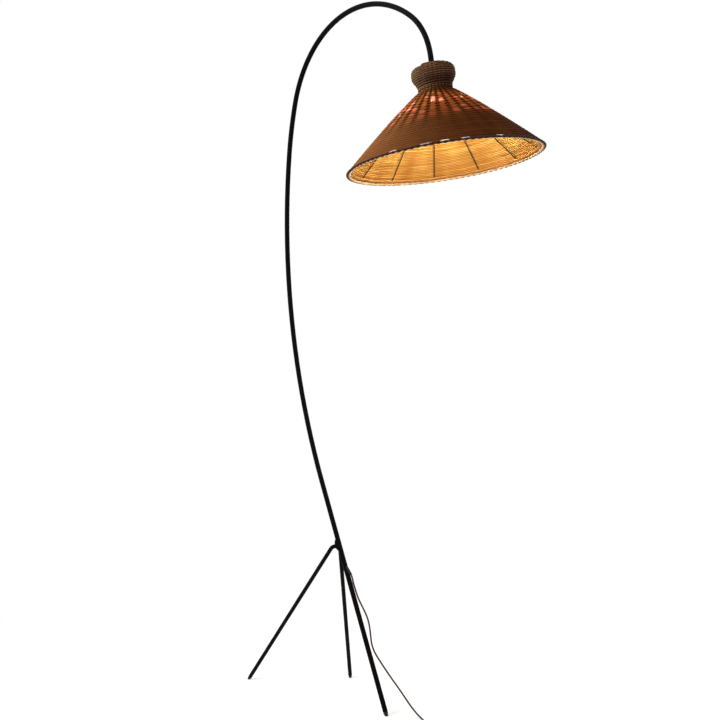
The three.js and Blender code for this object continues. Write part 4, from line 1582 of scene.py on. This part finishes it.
        deep = v * (weave.thick * (1 - self.loose_thinning * thin))[:, None]
        tone = self.tone(weave, strand, step, distance, loose)
        # painted light: how far each point faces the side that is painted paler
        facing = shares(np.cos(azimuth - math.radians(self.lit_side_azimuth)))
        values = {
            "rod": stacked(travelled(centres)[:, None], wide, deep),
            "tone": shares(tone)[:, None],
            "inner": shares(-v)[None],
            "rise": rise[:, None],
            # painted shade in the creases between rows
            "groove": smoothstep(np.abs(u), *weave.groove)[None],
            # painted shade in the valleys over the stakes
            "stake_shade": (1 - between)[:, None] ** self.valley_power,
            # painted glow on thin strands in the loose band
            "glow": thin[:, None],
            # painted light: near-white dashes along the lowest row
            "bare": self.light_dashes(distance, azimuth)[:, None],
            "lightened": facing[:, None] ** self.lit_side_power,
        }
        sides = up[:, None] * wide[..., None] + outward[:, None] * deep[..., None]
        shell.grid(self.placement.out(centres[:, None] + sides), values=values)

    def tone(
        self, weave: Weave, strand: int, step: Array, distance: Array, loose: Array
    ) -> Array:
        """A strand's tone: drifting values by the crossing, in streaks along it, and in stains.

        A stain covers several rows between the same two stakes, and fades out at the stakes by a
        cosine.

        Args:
            weave: How the skin is woven.
            strand: 0 or 1.
            step: How many stakes it has passed at each point.
            distance: How far up the wall each point is.
            loose: How open the weave is there.

        Returns:
            Tones from about -1 to 1.
        """
        column = np.floor(step) % self.stakes
        place = distance / self.stain_height + column * self.stain_stride
        stain = weave.drift(Draw.STAIN, place) * wave(step)
        crossing = weave.drift(Draw.CROSSING_TONE, step / 2, strand)
        lively = weave.drift(Draw.LOOSE_TONE, step + 0.5, strand) * loose
        streak = weave.drift(Draw.STREAK, step / self.streak_stitches, strand)
        tone = crossing * self.crossing_tone + lively * self.loose_tone
        return tone + streak * weave.streak + stain * self.stain_tone

    def uprights(self) -> Shell:
        """The stakes: round reeds that follow the wall's middle from the border to the knob's top.

        Each wanders a little in azimuth, and thins where the stakes would crowd at the hole.

        Returns:
            The stakes.
        """
        shell = Shell()
        distance = np.linspace(self.stake_start, self.top_row, self.stake_rows)
        rise = distance / self.wall.waist_distance
        wander_place = distance / self.stake_wander_run + self.stake_wander_phase
        u, v = section(1.0, 1.0, self.strand_sides)
        tones = shares(drifting(np.arange(self.stakes) + 0.5, self.stake_tone_seed))
        for index in range(self.stakes):
            wander = drifting(wander_place, self.stake_seed + index) * self.stake_wander
            centres, up, outward = self.wall.at(distance, index / self.stakes * TURN + wander)
            room = np.hypot(centres[:, 0], centres[:, 1]) * math.pi / self.stakes
            thick = np.minimum(self.stake_radius, room * self.stake_crowding_share)[:, None]
            values = {
                "rod": stacked(distance[:, None], thick * u, thick * v),
                "tone": np.full((1, 1), tones[index]),
                "inner": shares(-u)[None],
                "rise": rise[:, None],
            }
            places = swept(centres, outward * thick, np.cross(up, outward) * thick, (u, v))
            shell.grid(self.placement.out(places), values=values)
        return shell

    def border(self) -> Shell:
        """The rolled border: three reeds that wind round the rim's ring as they go about it.

        Each reed's offset from the ring is an ellipse in the winding angle.

        Returns:
            The border.
        """
        shell = Shell()
        count = self.border_turns * self.border_steps
        azimuth = np.arange(count) / count * TURN
        spoke = spokes(azimuth)
        middle = self.wall.rim - self.border_inset
        ring = spoke * middle + Z_AXIS * (self.wall.rim_height - self.border_drop)
        wide, deep = self.border_half
        u, v = section(self.border_strand, self.border_strand, self.strand_sides)
        along = azimuth[:, None] * self.wall.rim
        for reed in range(self.border_reeds):
            winding = (azimuth * self.border_turns + reed * TURN / self.border_reeds)[:, None]
            centres = ring + spoke * np.cos(winding) * wide + Z_AXIS * np.sin(winding) * deep
            tangent = ways_round(centres)
            second = unit(np.cross(tangent, spoke))
            places = swept(centres, np.cross(second, tangent), second, (u, v))
            reach = np.hypot(places[..., 0], places[..., 1]) - middle
            tone = drifting(azimuth / TURN * self.border_tones, self.border_seed + reed)
            values = {
                "rod": stacked(along, u, v),
                "tone": shares(tone)[:, None],
                # painted light: the border's inner part takes the pale inner colours
                "inner": self.border_lit_share - 0.5 * reach / (wide + self.border_strand),
            }
            shell.grid(self.placement.out(places), closed_rows=True, values=values)
        return shell


@dataclass
class WireFrame:
    """The wire frame inside the shade: twelve ribs between a neck ring and a rim ring."""

    placement: Placement
    wall: ShadeWall
    wire: float = 0.00125
    rim_wire: float = 0.0018
    skin_depth: float = 0.0029
    weave: float = 0.002
    gap: float = 0.0003
    neck_height: float = 0.0007
    bend: float = 0.004
    bend_step: float = 6.0
    ribs: int = 12
    phase: float = 24.0
    ring_steps: int = 240
    ring_sides: int = 14
    rib_sides: int = 12

    def cone_radius(self, height: float, depth: float) -> float:
        """The cone's radius at a height, at a depth square to its face.

        Args:
            height: The height.
            depth: How far inside the face.

        Returns:
            The radius.
        """
        slope = math.radians(self.wall.slope)
        above = height - self.wall.rim_height
        return self.wall.rim - above * math.tan(slope) - depth / math.cos(slope)

    @property
    def rib_depth(self) -> float:
        """The ribs' axis below the cone's face."""
        return self.skin_depth + self.weave + self.gap * 2 + self.wire

    @property
    def neck_radius(self) -> float:
        """The neck ring's radius."""
        return self.wall.waist - self.rib_depth

    def ring(self, radius: float, height: float, wire: float) -> Shell:
        """A wire ring: a circle carried round a circle.

        Args:
            radius: The radius of the ring's middle line.
            height: Its height.
            wire: The wire's radius.

        Returns:
            The ring.
        """
        spoke = spokes(np.arange(self.ring_steps) / self.ring_steps * TURN)
        axis = np.broadcast_to(Z_AXIS, spoke.shape)
        offsets = section(wire, wire, self.ring_sides)
        places = swept(spoke * radius + axis * height, axis, spoke, offsets)
        return Shell().grid(self.placement.out(places), closed_rows=True)

    def rib(self, azimuth: float) -> Array:
        """A rib's points: down from the neck ring, a bend, and along the cone to the rim ring.

        Args:
            azimuth: Its angle about the axis in radians.

        Returns:
            Rows and columns of points.
        """
        slope = math.radians(self.wall.slope)
        neck = self.neck_radius
        above = (self.cone_radius(self.wall.rim_height, self.rib_depth) - neck) / math.tan(slope)
        corner = np.array([neck, 0.0, self.wall.rim_height + above])
        top = np.array([neck, 0.0, self.neck_height - self.wire - self.gap])
        low = self.wall.rim_height + self.rim_wire * 2 + self.gap * 2
        foot = np.array([self.cone_radius(low, self.rib_depth), 0.0, low])
        tangent = self.bend * math.tan(slope / 2)
        route = Route(top, -Z_AXIS).run(np.linalg.norm(top - corner) - tangent)
        route.bend(self.bend, -Y_AXIS, self.wall.slope, self.bend_step)
        route.run(np.linalg.norm(foot - corner) - tangent)
        points = tube(route, Y_AXIS, self.wire, self.rib_sides)
        cosine, sine = math.cos(azimuth), math.sin(azimuth)
        turn = np.array([[cosine, sine, 0], [-sine, cosine, 0], [0, 0, 1]])
        return self.placement.out(points @ turn)

    def build(self) -> None:
        """Builds and dresses the wires."""
        height = self.wall.rim_height + self.rim_wire + self.gap
        depth = self.skin_depth + self.weave + self.gap + self.rim_wire
        rim = self.ring(self.cone_radius(height, depth), height, self.rim_wire)
        dress(rim.build("wire_rim"), WRAPPED_WIRE, ["rim_ring"])
        neck = self.ring(self.neck_radius, self.neck_height, self.wire)
        dress(neck.build("wire_neck"), DARK_WIRE, ["neck_ring"])
        for index in range(self.ribs):
            azimuth = math.radians(self.phase) + index / self.ribs * TURN
            name = f"rib_{index + 1:02d}"
            dress(Shell().grid(self.rib(azimuth)).build(f"wire_{name}"), DARK_WIRE, [name])


# Light


@dataclass
class Lampholder:
    """The lampholder on the shade's axis, and the ring that clamps the shade to it."""

    placement: Placement
    radius: float = 0.0197
    wall: float = 0.0025
    mouth: float = -0.0195
    top: float = 0.0105
    flange: float = 0.0028
    flange_bottom: float = 0.0018
    flange_thick: float = 0.003
    cap_rise: float = 0.012
    cap_dome: float = 0.008
    cap_neck: float = 0.010
    neck_radius: float = 0.009
    pole_bore: float = 0.0063
    ring_outer: float = 0.026
    ring_top: float = -0.0004
    ring_thick: float = 0.007
    ring_flutes: int = 36
    flute_depth: float = 0.00045
    flute_ease: float = 0.001
    flute_steps: int = 8
    skirt_round: float = 0.0006
    cap_round: float = 0.0012
    ring_round: float = 0.0008
    carrier_ease: float = 0.0003
    nut_ease: float = 0.0004
    gap: float = 0.0003
    sides: int = 72

    def turn(self, corners: Corners, ease: float, name: str) -> bpy.types.Object:
        """A hollow turned piece from a closed profile with rounded corners."""
        ring = turned(closed_rounded(corners, ease), self.sides)
        return Shell().grid(self.placement.out(ring), closed_rows=True).build(name)

    def build(self) -> None:
        """Builds and dresses the lampholder."""
        bore = self.radius - self.wall
        rim, low = self.radius + self.flange, self.flange_bottom
        high = low + self.flange_thick
        skirt = [
            (self.radius, self.mouth),
            (self.radius, low),
            (rim, low),
            (rim, high),
            (self.radius, high),
            (self.radius, self.top),
            (bore, self.top),
            (bore, self.mouth),
        ]
        piece = self.turn(skirt, self.skirt_round, "threaded_skirt")
        dress(piece, BLACK_PLASTIC, ["holder_skirt"])
        edge, shoulder = self.top + self.gap, self.top + self.cap_rise
        neck = shoulder + self.cap_dome
        cap = [
            (self.radius, edge),
            (self.radius, shoulder),
            (self.neck_radius, neck),
            (self.neck_radius, neck + self.cap_neck),
            (self.pole_bore, neck + self.cap_neck),
            (self.pole_bore, neck - self.wall),
            (bore, shoulder - self.wall),
            (bore, edge),
        ]
        dress(self.turn(cap, self.cap_round, "domed_cap"), BLACK_PLASTIC, ["holder_cap"])
        dress(self.fluted_ring(), BLACK_PLASTIC, ["shade_ring"])
        carrier = eased("shade_carrier", "spider_plate", self.carrier_ease)
        dress(carrier, BLACK_PAINT, ["shade_carrier"])
        dress(eased("lock_nut", "hexagon_nut", self.nut_ease), BARE_STEEL, ["lock_nut"])
        keep("holder_insert", CERAMIC)
        keep("screw_shell", BRASS)
        keep("centre_contact", BRASS)

    def fluted_ring(self) -> bpy.types.Object:
        """The clamping ring: its outer side dips at each flute by a share of a cosine.

        Returns:
            The piece.
        """
        bore, bottom = self.radius + self.gap, self.ring_top - self.ring_thick
        corners = rectangle((bore, self.ring_outer), (bottom, self.ring_top))
        profile = closed_rounded(corners, self.ring_round)
        columns = self.ring_flutes * self.flute_steps
        flutes = wave(np.arange(columns)[None] / self.flute_steps)
        outer_side = smoothstep(profile[:, :1], self.ring_outer - self.flute_ease, self.ring_outer)
        ring = turned(profile, columns, -self.flute_depth * flutes * outer_side)
        shell = Shell().grid(self.placement.out(ring), closed_rows=True)
        return shell.build("clamping_ring")


@dataclass
class Bulb:
    """The round opal bulb with its screw cap."""

    placement: Placement
    radius: float = 0.030
    bottom: float = -0.1045
    neck: float = 0.0129
    neck_top: float = -0.0185
    neck_run: float = 0.005
    shoulder: float = 35.0
    low_share: float = 0.45
    high_share: float = 0.5
    wall: float = 0.001
    cap_radius: float = 0.0131
    cap_bottom: float = -0.0182
    cap_top: float = 0.0005
    cap_small: float = 0.006
    cap_end: float = 0.0025
    cap_round: float = 0.0005
    cap_rows: int = 160
    thread_pitch: float = 0.00363
    thread_depth: float = 0.0006
    thread_ends: tuple[float, float] = (0.001, 0.003)
    thread_side_share: float = 0.9
    pole_closing: float = 0.00002
    globe_rows: int = 40
    neck_rows: int = 16
    sides: int = 96

    def face(self, inset: float) -> Array:
        """The glass's profile: part of a circle, then a cubic curve into the straight neck.

        Args:
            inset: How far inside the outer face the profile lies.

        Returns:
            Radius and height in each row.
        """
        radius = self.radius - inset
        centre = self.bottom + self.radius
        neck = self.neck - inset
        start = self.neck_top - self.neck_run
        last = math.radians(self.shoulder)
        angle = np.linspace(-math.pi / 2, last, self.globe_rows)[:-1]
        circle = np.stack([radius * np.cos(angle), centre + radius * np.sin(angle)], axis=-1)
        low = np.array([radius * math.cos(last), centre + radius * math.sin(last)])
        climb = start - low[1]
        away = np.array([-math.sin(last), math.cos(last)]) * climb * self.low_share
        below = np.array([neck, start - climb * self.high_share])
        share = np.linspace(0, 1, self.neck_rows)[:, None]
        rest = 1 - share
        blend = rest**3 * low + 3 * share * rest**2 * (low + away)
        blend = blend + 3 * share**2 * rest * below + share**3 * [neck, start]
        return np.concatenate([circle, blend, [[neck, self.neck_top]]])

    def build(self) -> None:
        """Builds and dresses the bulb."""
        outer, inner = self.face(0.0), self.face(self.wall)[::-1]
        outer[0, 0], inner[-1, 0] = self.pole_closing, self.pole_closing
        wall = self.placement.out(turned(np.concatenate([outer, inner]), self.sides))
        glass = Shell().grid(wall, closed_rows=True)
        dress(glass.build("opal_globe"), OPAL, ["bulb_glass"], Body.BULB)
        dress(self.cap(), ALUMINIUM, ["bulb_cap"], Body.BULB)
        keep("bulb_tip", BRASS)

    def cap(self) -> bpy.types.Object:
        """The screw cap: its radius ripples with height, and each column starts a little later.

        The ripple is a cosine of height over pitch less the azimuth's share of a turn.

        Returns:
            The piece.
        """
        corners = [
            (0.0, self.cap_bottom),
            (self.cap_radius, self.cap_bottom),
            (self.cap_radius, self.cap_top),
            (self.cap_small, self.cap_end),
            (0.0, self.cap_end),
        ]
        profile = densified(rounded(corners, self.cap_round), self.cap_rows)
        turns = np.arange(self.sides)[None] / self.sides
        radius, height = profile[:, :1], profile[:, 1:]
        thread = wave(height / self.thread_pitch - turns)
        length = smoothstep(height - self.cap_bottom, *self.thread_ends)
        length = length * smoothstep(self.cap_top - height, *self.thread_ends)
        side = smoothstep(radius, self.cap_radius * self.thread_side_share, self.cap_radius)
        ring = turned(profile, self.sides, -self.thread_depth * thread * length * side)
        return Shell().grid(self.placement.out(ring)).build("screw_cap")


# Lead


@dataclass
class Lead:
    """The lead: down from the bush, coiled on the floor, through the switch and to the plug."""

    origin: Array
    stand: Stand
    radius: float = 0.0021
    lead_in: float = 0.005
    gap: float = 0.0003
    span_steps: int = 12
    line_step: float = 0.0012
    sheath_steps: int = 5
    stretch_ease: float = 0.006
    whole_ease: float = 0.003
    coil_x: float = 0.300
    coil_middle: float = 0.0252
    coil_spacing: float = 0.00055
    coil_turns: float = 3.25
    coil_steps: int = 48
    coil_ease: float = 0.14
    climb_turns: float = 0.5
    tie_thick: float = 0.0008
    tie_wide: float = 0.005
    tie_angle: float = 20.0
    tie_slack: float = 0.0005
    tie_corner: float = 0.0022
    tie_round: float = 0.0003
    switch_x: float = 0.362
    switch_y: float = -0.048
    switch_half: float = 0.030
    switch_seam: float = 0.008
    case_ease: float = 0.0005
    rocker_ease: float = 0.0003
    screw_ease: float = 0.0002
    plug_y: float = -0.117
    plug_height: float = 0.0137
    plug_length: float = 0.034
    plug_ease: float = 0.0012
    pin_radius: float = 0.002
    pin_length: float = 0.019
    pin_spacing: float = 0.0186
    pin_seated: float = 0.006
    pin_round: float = 0.0012
    pin_sides: int = 32
    relief_length: float = 0.024
    relief_wide: float = 0.0044
    relief_narrow: float = 0.003
    relief_ribs: int = 6
    relief_groove: float = 0.0007
    relief_first_groove: tuple[float, float] = (0.05, 0.1)
    relief_rows: int = 90
    relief_sides: int = 40
    drop: tuple[Point, ...] = (
        (0.0571, 0.0022, 0.2994), (0.0640, 0.0041, 0.2805), (0.0723, 0.0057, 0.2612),
        (0.0834, 0.0092, 0.2421), (0.0935, 0.0125, 0.2248), (0.1018, 0.0139, 0.2077),
        (0.1090, 0.0124, 0.1890), (0.1144, 0.0103, 0.1727), (0.1195, 0.0086, 0.1575),
        (0.1249, 0.0088, 0.1466), (0.1313, 0.0104, 0.1360), (0.1395, 0.0137, 0.1243),
        (0.1488, 0.0176, 0.1113), (0.1595, 0.0225, 0.0966), (0.1714, 0.0284, 0.0801),
        (0.1841, 0.0351, 0.0629), (0.1970, 0.0414, 0.0450), (0.2105, 0.0468, 0.0276),
        (0.2255, 0.0504, 0.0132), (0.2420, 0.0506, 0.0048), (0.2585, 0.0470, 0.0026),
        (0.2735, 0.0404, 0.0024), (0.2845, 0.0356, 0.0028),
    )
    link: tuple[Point, ...] = (
        (0.3140, 0.0338, 0.0080), (0.3270, 0.0322, 0.0064), (0.3400, 0.0256, 0.0036),
        (0.3510, 0.0146, 0.0028), (0.3580, 0.0024, 0.0044),
    )
    tail: tuple[Point, ...] = (
        (0.3616, -0.0906, 0.0056), (0.3590, -0.1016, 0.0036), (0.3526, -0.1104, 0.0034),
        (0.3440, -0.1156, 0.0050),
    )

    @property
    def coil_pitch(self) -> float:
        """The coil's turns lie this far apart."""
        return self.radius * 2 + self.coil_spacing

    @property
    def coil_low(self) -> float:
        """The height of the coil's lower layer, on top of the tie."""
        return self.tie_thick + self.gap + self.radius

    @property
    def plug_back(self) -> Array:
        """The middle of the plug's back face."""
        return np.array([PLUG_BACK_X, self.plug_y, self.plug_height / 2])

    def coil(self) -> Array:
        """The coil's centreline: in over the floor, up a layer where it turns back, and out on top.

        The radius is the middle one plus the share of turns away from the reversal, times the
        pitch. The root of a square and a small square eases the reversal itself, and the height
        eases from one layer to the next in the half turn there.

        Returns:
            The centreline's points.
        """
        turns = self.coil_turns * 2 + self.climb_turns
        turn = np.linspace(0, turns, round(turns * self.coil_steps) + 1)
        past = turn - turns / 2
        spread = np.sqrt(past**2 + self.coil_ease**2) - self.climb_turns / 2
        radius = self.coil_middle + (spread - self.coil_turns / 2) * self.coil_pitch
        climb = np.clip(past / self.climb_turns + 0.5, 0, 1)
        height = self.coil_low + self.coil_pitch * (1 - np.cos(math.pi * climb)) / 2
        line = spokes(math.pi / 2 - turn * TURN) * radius[:, None] + Z_AXIS * height[:, None]
        line = line + X_AXIS * self.coil_x
        run = X_AXIS * self.radius * 2
        return np.concatenate([line[:1] - run, line, line[-1:] + run])

    def stretch(
        self, start: Array, way: Array, route: Sequence[Point], end: Array, into: Array
    ) -> Array:
        """A smooth curve through chosen points, straight for a lead at both of its ends.

        It is a centripetal curve: each span's knots are the square roots of its chords, and each
        point is a blend of blends of the four points round it.

        Args:
            start: Where it starts.
            way: The unit way that it leaves.
            route: The points chosen by hand.
            end: Where it ends.
            into: The unit way that it arrives.

        Returns:
            Points along the curve.
        """
        leaving, arriving = start + way * self.lead_in, end - into * self.lead_in
        points = np.array([start, leaving, *route, arriving, end])
        points = np.concatenate([[2 * start - leaving], points, [2 * end - arriving]])
        chords = np.linalg.norm(np.diff(points, axis=0), axis=1)
        knots = np.concatenate([[0], np.cumsum(np.sqrt(chords))])
        share = np.arange(self.span_steps) / self.span_steps
        spans = len(points) - 3
        p = [points[k : k + spans, None] for k in range(4)]
        t = [knots[k : k + spans, None, None] for k in range(4)]
        at = t[1] + (t[2] - t[1]) * share[None, :, None]

        def between(a: Array, b: Array, low: Array, high: Array) -> Array:
            """The blend of two places at a knot between their own."""
            return a * (high - at) / (high - low) + b * (at - low) / (high - low)

        first = [between(p[k], p[k + 1], t[k], t[k + 1]) for k in range(3)]
        second = [between(first[k], first[k + 1], t[k], t[k + 2]) for k in range(2)]
        curve = between(second[0], second[1], t[1], t[2])
        return self.relaxed(np.concatenate([curve.reshape(-1, 3), points[-2:-1]]), self.stretch_ease)

    def relaxed(self, line: Array, reach: float) -> Array:
        """A line with its corners eased, at even steps, that keeps its ends and their ways.

        Each point is a mean round it under a bell curve. Past the ends the line goes on as its
        own half turn, so they stay in place.

        Args:
            line: The line's points.
            reach: The bell's standard deviation.

        Returns:
            The new points.
        """
        along = travelled(line)
        even = np.linspace(0, along[-1], round(along[-1] / self.line_step) + 1)
        points = resampled(line, along, even)
        half = round(reach * 3 / self.line_step)
        weights = bell(np.arange(-half, half + 1) * self.line_step, reach * math.sqrt(2))
        before = 2 * points[0] - points[half:0:-1]
        after = 2 * points[-1] - points[-2 : -half - 2 : -1]
        whole = np.concatenate([before, points, after])
        weights = weights / weights.sum()
        return np.stack([np.convolve(axis, weights, mode="valid") for axis in whole.T], axis=-1)

    def sheath(self, name: str, line: Array) -> bpy.types.Object:
        """A round cord along a line, as a curve.

        Args:
            name: The piece's name.
            line: The centreline's points.

        Returns:
            The piece.
        """
        curve = bpy.data.curves.new(name, "CURVE")
        curve.dimensions = "3D"
        spline = curve.splines.new("POLY")
        spline.points.add(len(line) - 1)
        spline.points.foreach_set("co", np.insert(line, 3, 1.0, axis=1).ravel())
        curve.bevel_depth = self.radius
        curve.bevel_resolution = self.sheath_steps
        curve.use_fill_caps = True
        return linked(name, curve)

    def build(self) -> None:
        """Builds the lead with everything on it."""
        start, way = self.stand.outlet()
        start = start - self.origin + way * (self.stand.outlet_length + self.gap)
        coil = self.coil()
        reach = self.switch_half + self.gap
        switch_in = np.array([self.switch_x, self.switch_y + reach, self.switch_seam])
        switch_out = switch_in - Y_AXIS * reach * 2
        plug_in = self.plug_back + X_AXIS * (self.relief_length + self.gap)
        first = self.stretch(start, way, self.drop, coil[0] - X_AXIS * self.gap, X_AXIS)
        second = self.stretch(coil[-1] + X_AXIS * self.gap, X_AXIS, self.link, switch_in, -Y_AXIS)
        line = self.relaxed(np.concatenate([first, coil, second]), self.whole_ease) + self.origin
        lead = self.sheath("lead_cord", line)
        dress(lead, SHEATH, ["cord_drop", "cord_coil", "cord_link"])
        tail_line = self.stretch(switch_out, -Y_AXIS, self.tail, plug_in, -X_AXIS) + self.origin
        tail = self.sheath("plug_cord", tail_line)
        dress(tail, SHEATH, ["cord_tail"])
        switch = self.inline_switch()
        plug = self.plug()
        tie = dress(self.tie(), RUBBER, ["cord_tie"])
        self.declare()
        self.declare()
        keep("inner_cable", SHEATH)

    def declare(
        self,
    ) -> None:
        """Works out the cord's diameter and leaves it unused.
        """
        self.radius * 2

    def tie(self) -> bpy.types.Object:
        """The tie: a thin band round the coil's turns, a rounded frame with straight sides.

        Returns:
            The piece.
        """
        wide, thick = self.tie_wide / 2, self.tie_thick / 2
        reach = self.coil_turns * self.coil_pitch / 2 + self.radius + self.tie_slack + thick
        high = self.coil_low + self.coil_pitch + self.radius + self.gap + thick
        loop = closed_rounded(rectangle((-reach, reach), (thick, high)), self.tie_corner)
        spoke = spokes(np.radians(self.tie_angle))
        centre = self.origin + X_AXIS * self.coil_x + spoke * self.coil_middle
        places = centre + loop[:, :1] * spoke + loop[:, 1:] * Z_AXIS
        across = np.broadcast_to(np.cross(Z_AXIS, spoke), places.shape)
        outward = np.cross(across, ways_round(places))
        outline = closed_rounded(rectangle((-wide, wide), (-thick, thick)), self.tie_round)
        band = swept(places, across, outward, tuple(outline.T))
        return Shell().grid(band[:, ::-1], closed_rows=True).build("coil_tie")

    def inline_switch(self) -> list[bpy.types.Object]:
        """The switch's halves, its rocker and its screws.

        Returns:
            The pieces, the lower half first.
        """
        rows = (
            ("switch_base", "switch_lower_half", self.case_ease, BLACK_PLASTIC, Body.LAMP),
            ("switch_cover", "switch_upper_half", self.case_ease, BLACK_PLASTIC, Body.LAMP),
            ("switch_rocker", "rocker_key", self.rocker_ease, BLACK_PLASTIC, Body.ROCKER),
            ("switch_screw_1", "case_screw_1", self.screw_ease, BARE_STEEL, Body.LAMP),
            ("switch_screw_2", "case_screw_2", self.screw_ease, BARE_STEEL, Body.LAMP),
        )
        return [
            dress(eased(node, name, width), finish, [node], body)
            for node, name, width, finish, body in rows
        ]

    def plug(self) -> list[bpy.types.Object]:
        """The plug's body, its two round pins and its ribbed relief, pointing along -X.

        Returns:
            The pieces, the body first.
        """
        back = self.origin + self.plug_back
        body = eased("plug_body", "moulded_plug", self.plug_ease)
        pieces = [dress(body, BLACK_PLASTIC, ["plug_body"])]
        start = self.plug_length - self.pin_seated
        end = self.plug_length + self.pin_length
        radius = self.pin_radius
        corners = [(0.0, start), (radius, start), (radius, end), (0.0, end)]
        pin = turned(rounded(corners, self.pin_round), self.pin_sides)
        for index, side in enumerate((1, -1)):
            placement = Placement.along(back + Y_AXIS * side * self.pin_spacing / 2, -X_AXIS)
            name = f"plug_pin_{index + 1}"
            made = Shell().grid(placement.out(pin)).build(f"round_{name}")
            pieces.append(dress(made, BARE_STEEL, [name]))
        pieces.append(dress(self.relief(back), RUBBER, ["plug_relief"]))
        return pieces

    def relief(self, back: Array) -> bpy.types.Object:
        """The relief: a cone whose radius dips in a row of grooves, by a cosine's sixth power.

        Args:
            back: The middle of the plug's back face.

        Returns:
            The piece.
        """
        share = np.linspace(0, 1, self.relief_rows)
        heights = self.gap + (self.relief_length - self.gap) * share
        radius = self.relief_wide + (self.relief_narrow - self.relief_wide) * share
        groove = np.cos(math.pi * self.relief_ribs * share) ** 6 * self.relief_groove
        radius = radius - groove * smoothstep(share, *self.relief_first_groove)
        outer = np.stack([radius, heights], axis=-1)
        profile = np.concatenate([[[0.0, heights[0]]], outer, [[0.0, heights[-1]]]])
        places = Placement.along(back, X_AXIS).out(turned(profile, self.relief_sides))
        return Shell().grid(places).build("ribbed_relief")


# Studio

WHITE = (1.0, 1.0, 1.0, 1.0)
FLOOR_GREY = (0.82, 0.82, 0.81, 1.0)


@dataclass
class Studio:
    """The camera, the pale floor, the world and the soft lamps."""

    origin: Array
    eye: Point = (2.3701, -1.9382, 1.2)
    heading: tuple[float, float] = (-0.766, 0.643)
    pitch: float = -7.0
    picture: float = 720.0
    focal_pixels: float = 1281.9
    sensor: float = 36.0
    principal: tuple[float, float] = (353.3, 364.3)
    floor_half: float = 14.0
    floor_boost: float = 0.34
    floor_fading: tuple[float, float] = (0.5, 1.3)
    ambient: float = 0.6
    lamp_size: float = 2.4
    lamp_target: Point = (0.0, 0.0, 0.9)
    key_place: Point = (-1.2, -3.2, 3.0)
    key_power: float = 100.0
    fill_place: Point = (3.4, 0.4, 2.4)
    fill_power: float = 24.0

    def build(self) -> None:
        """Builds the studio."""
        self.camera()
        self.world()
        self.floor()
        self.lamp("key", self.key_place, self.key_power)
        self.lamp("fill", self.fill_place, self.fill_power)

    def camera(self) -> None:
        """The camera at the photograph's viewing angle."""
        data = bpy.data.cameras.new("camera")
        data.sensor_width = self.sensor
        data.lens = self.sensor * self.focal_pixels / self.picture
        middle = self.picture / 2
        data.shift_x = (middle - self.principal[0]) / self.picture
        data.shift_y = (self.principal[1] - middle) / self.picture
        made = linked("camera", data)
        pitch = math.radians(self.pitch)
        across = math.hypot(*self.heading)
        way = Vector((*(c / across * math.cos(pitch) for c in self.heading), math.sin(pitch)))
        made.location = self.origin + self.eye
        made.rotation_mode = "QUATERNION"
        made.rotation_quaternion = way.to_track_quat("-Z", "Y")
        bpy.context.scene.camera = made

    @staticmethod
    def looked_at(tree: NodeTree) -> Term:
        """1 for rays that show the background itself, seen, mirrored or through glass.

        Args:
            tree: The nodes to work in.

        Returns:
            The share.
        """
        names = ("Is Camera Ray", "Is Glossy Ray", "Is Transmission Ray")
        seen, mirrored, through = (tree.node("ShaderNodeLightPath", output=name) for name in names)
        return (seen + mirrored + through).clamped()

    def world(self) -> None:
        """An even white world: full strength where it is looked at, less as light."""
        world = bpy.data.worlds.new("studio")
        bpy.context.scene.world = world
        tree = NodeTree(world)
        strength = self.looked_at(tree) * (1 - self.ambient) + self.ambient
        white = tree.node("ShaderNodeBackground", {"Color": WHITE, "Strength": strength})
        tree.node("ShaderNodeOutputWorld", {"Surface": white})

    def floor(self) -> None:
        """A pale floor that keeps the shadow near the lamp and runs out into white."""
        half = self.floor_half
        mesh = bpy.data.meshes.new("floor")
        corners = [(-half, -half, 0), (half, -half, 0), (half, half, 0), (-half, half, 0)]
        mesh.from_pydata(corners, [], [(0, 1, 2, 3)])
        material = bpy.data.materials.new("pale floor")
        tree = NodeTree(material)
        far = tree.node("ShaderNodeVectorMath", {0: tree.place()}, {"operation": "LENGTH"}, "Value")
        lightened = tree.smooth(far, *self.floor_fading)
        seen = self.looked_at(tree)
        base = tree.node("ShaderNodeBsdfDiffuse", {"Color": FLOOR_GREY})
        lift = tree.node("ShaderNodeEmission", {"Color": WHITE, "Strength": seen * self.floor_boost})
        near = tree.node("ShaderNodeAddShader", {0: base, 1: lift})
        white = tree.node("ShaderNodeEmission", {"Color": WHITE, "Strength": 1.0})
        mixed = tree.node("ShaderNodeMixShader", {0: seen * lightened, 1: near, 2: white})
        tree.node("ShaderNodeOutputMaterial", {"Surface": mixed})
        mesh.materials.append(material)
        made = linked("floor", mesh)

    def lamp(self, name: str, place: Point, power: float) -> None:
        """A square soft lamp at a place, facing the middle of the object.

        Args:
            name: The lamp's name.
            place: Where it stands.
            power: Its power, in watts.
        """
        data = bpy.data.lights.new(name, "AREA")
        data.size = self.lamp_size
        data.energy = power
        made = linked(name, data)
        made.location = place
        made.rotation_mode = "QUATERNION"
        way = Vector(self.lamp_target) - Vector(place)
        made.rotation_quaternion = way.to_track_quat("-Z", "Y")


def main() -> None:
    """Builds the lamp's looks in order."""
    logging.basicConfig(level=logging.INFO, format="%(message)s")
    bpy.context.scene.view_settings.view_transform = "Standard"
    origin = design_origin()
    Studio(origin).build()
    stand = Stand(origin)
    Lead(origin, stand).build()
    stand.build()
    end = stand.pole_route(0)
    placement = Placement.along(end.tip + end.heading * stand.waist_past_end, -end.heading)
    wall = ShadeWall()
    Shade(placement, wall).build()
    WireFrame(placement, wall).build()
    Lampholder(placement).build()
    Bulb(placement).build()


if __name__ == "__main__":
    main()
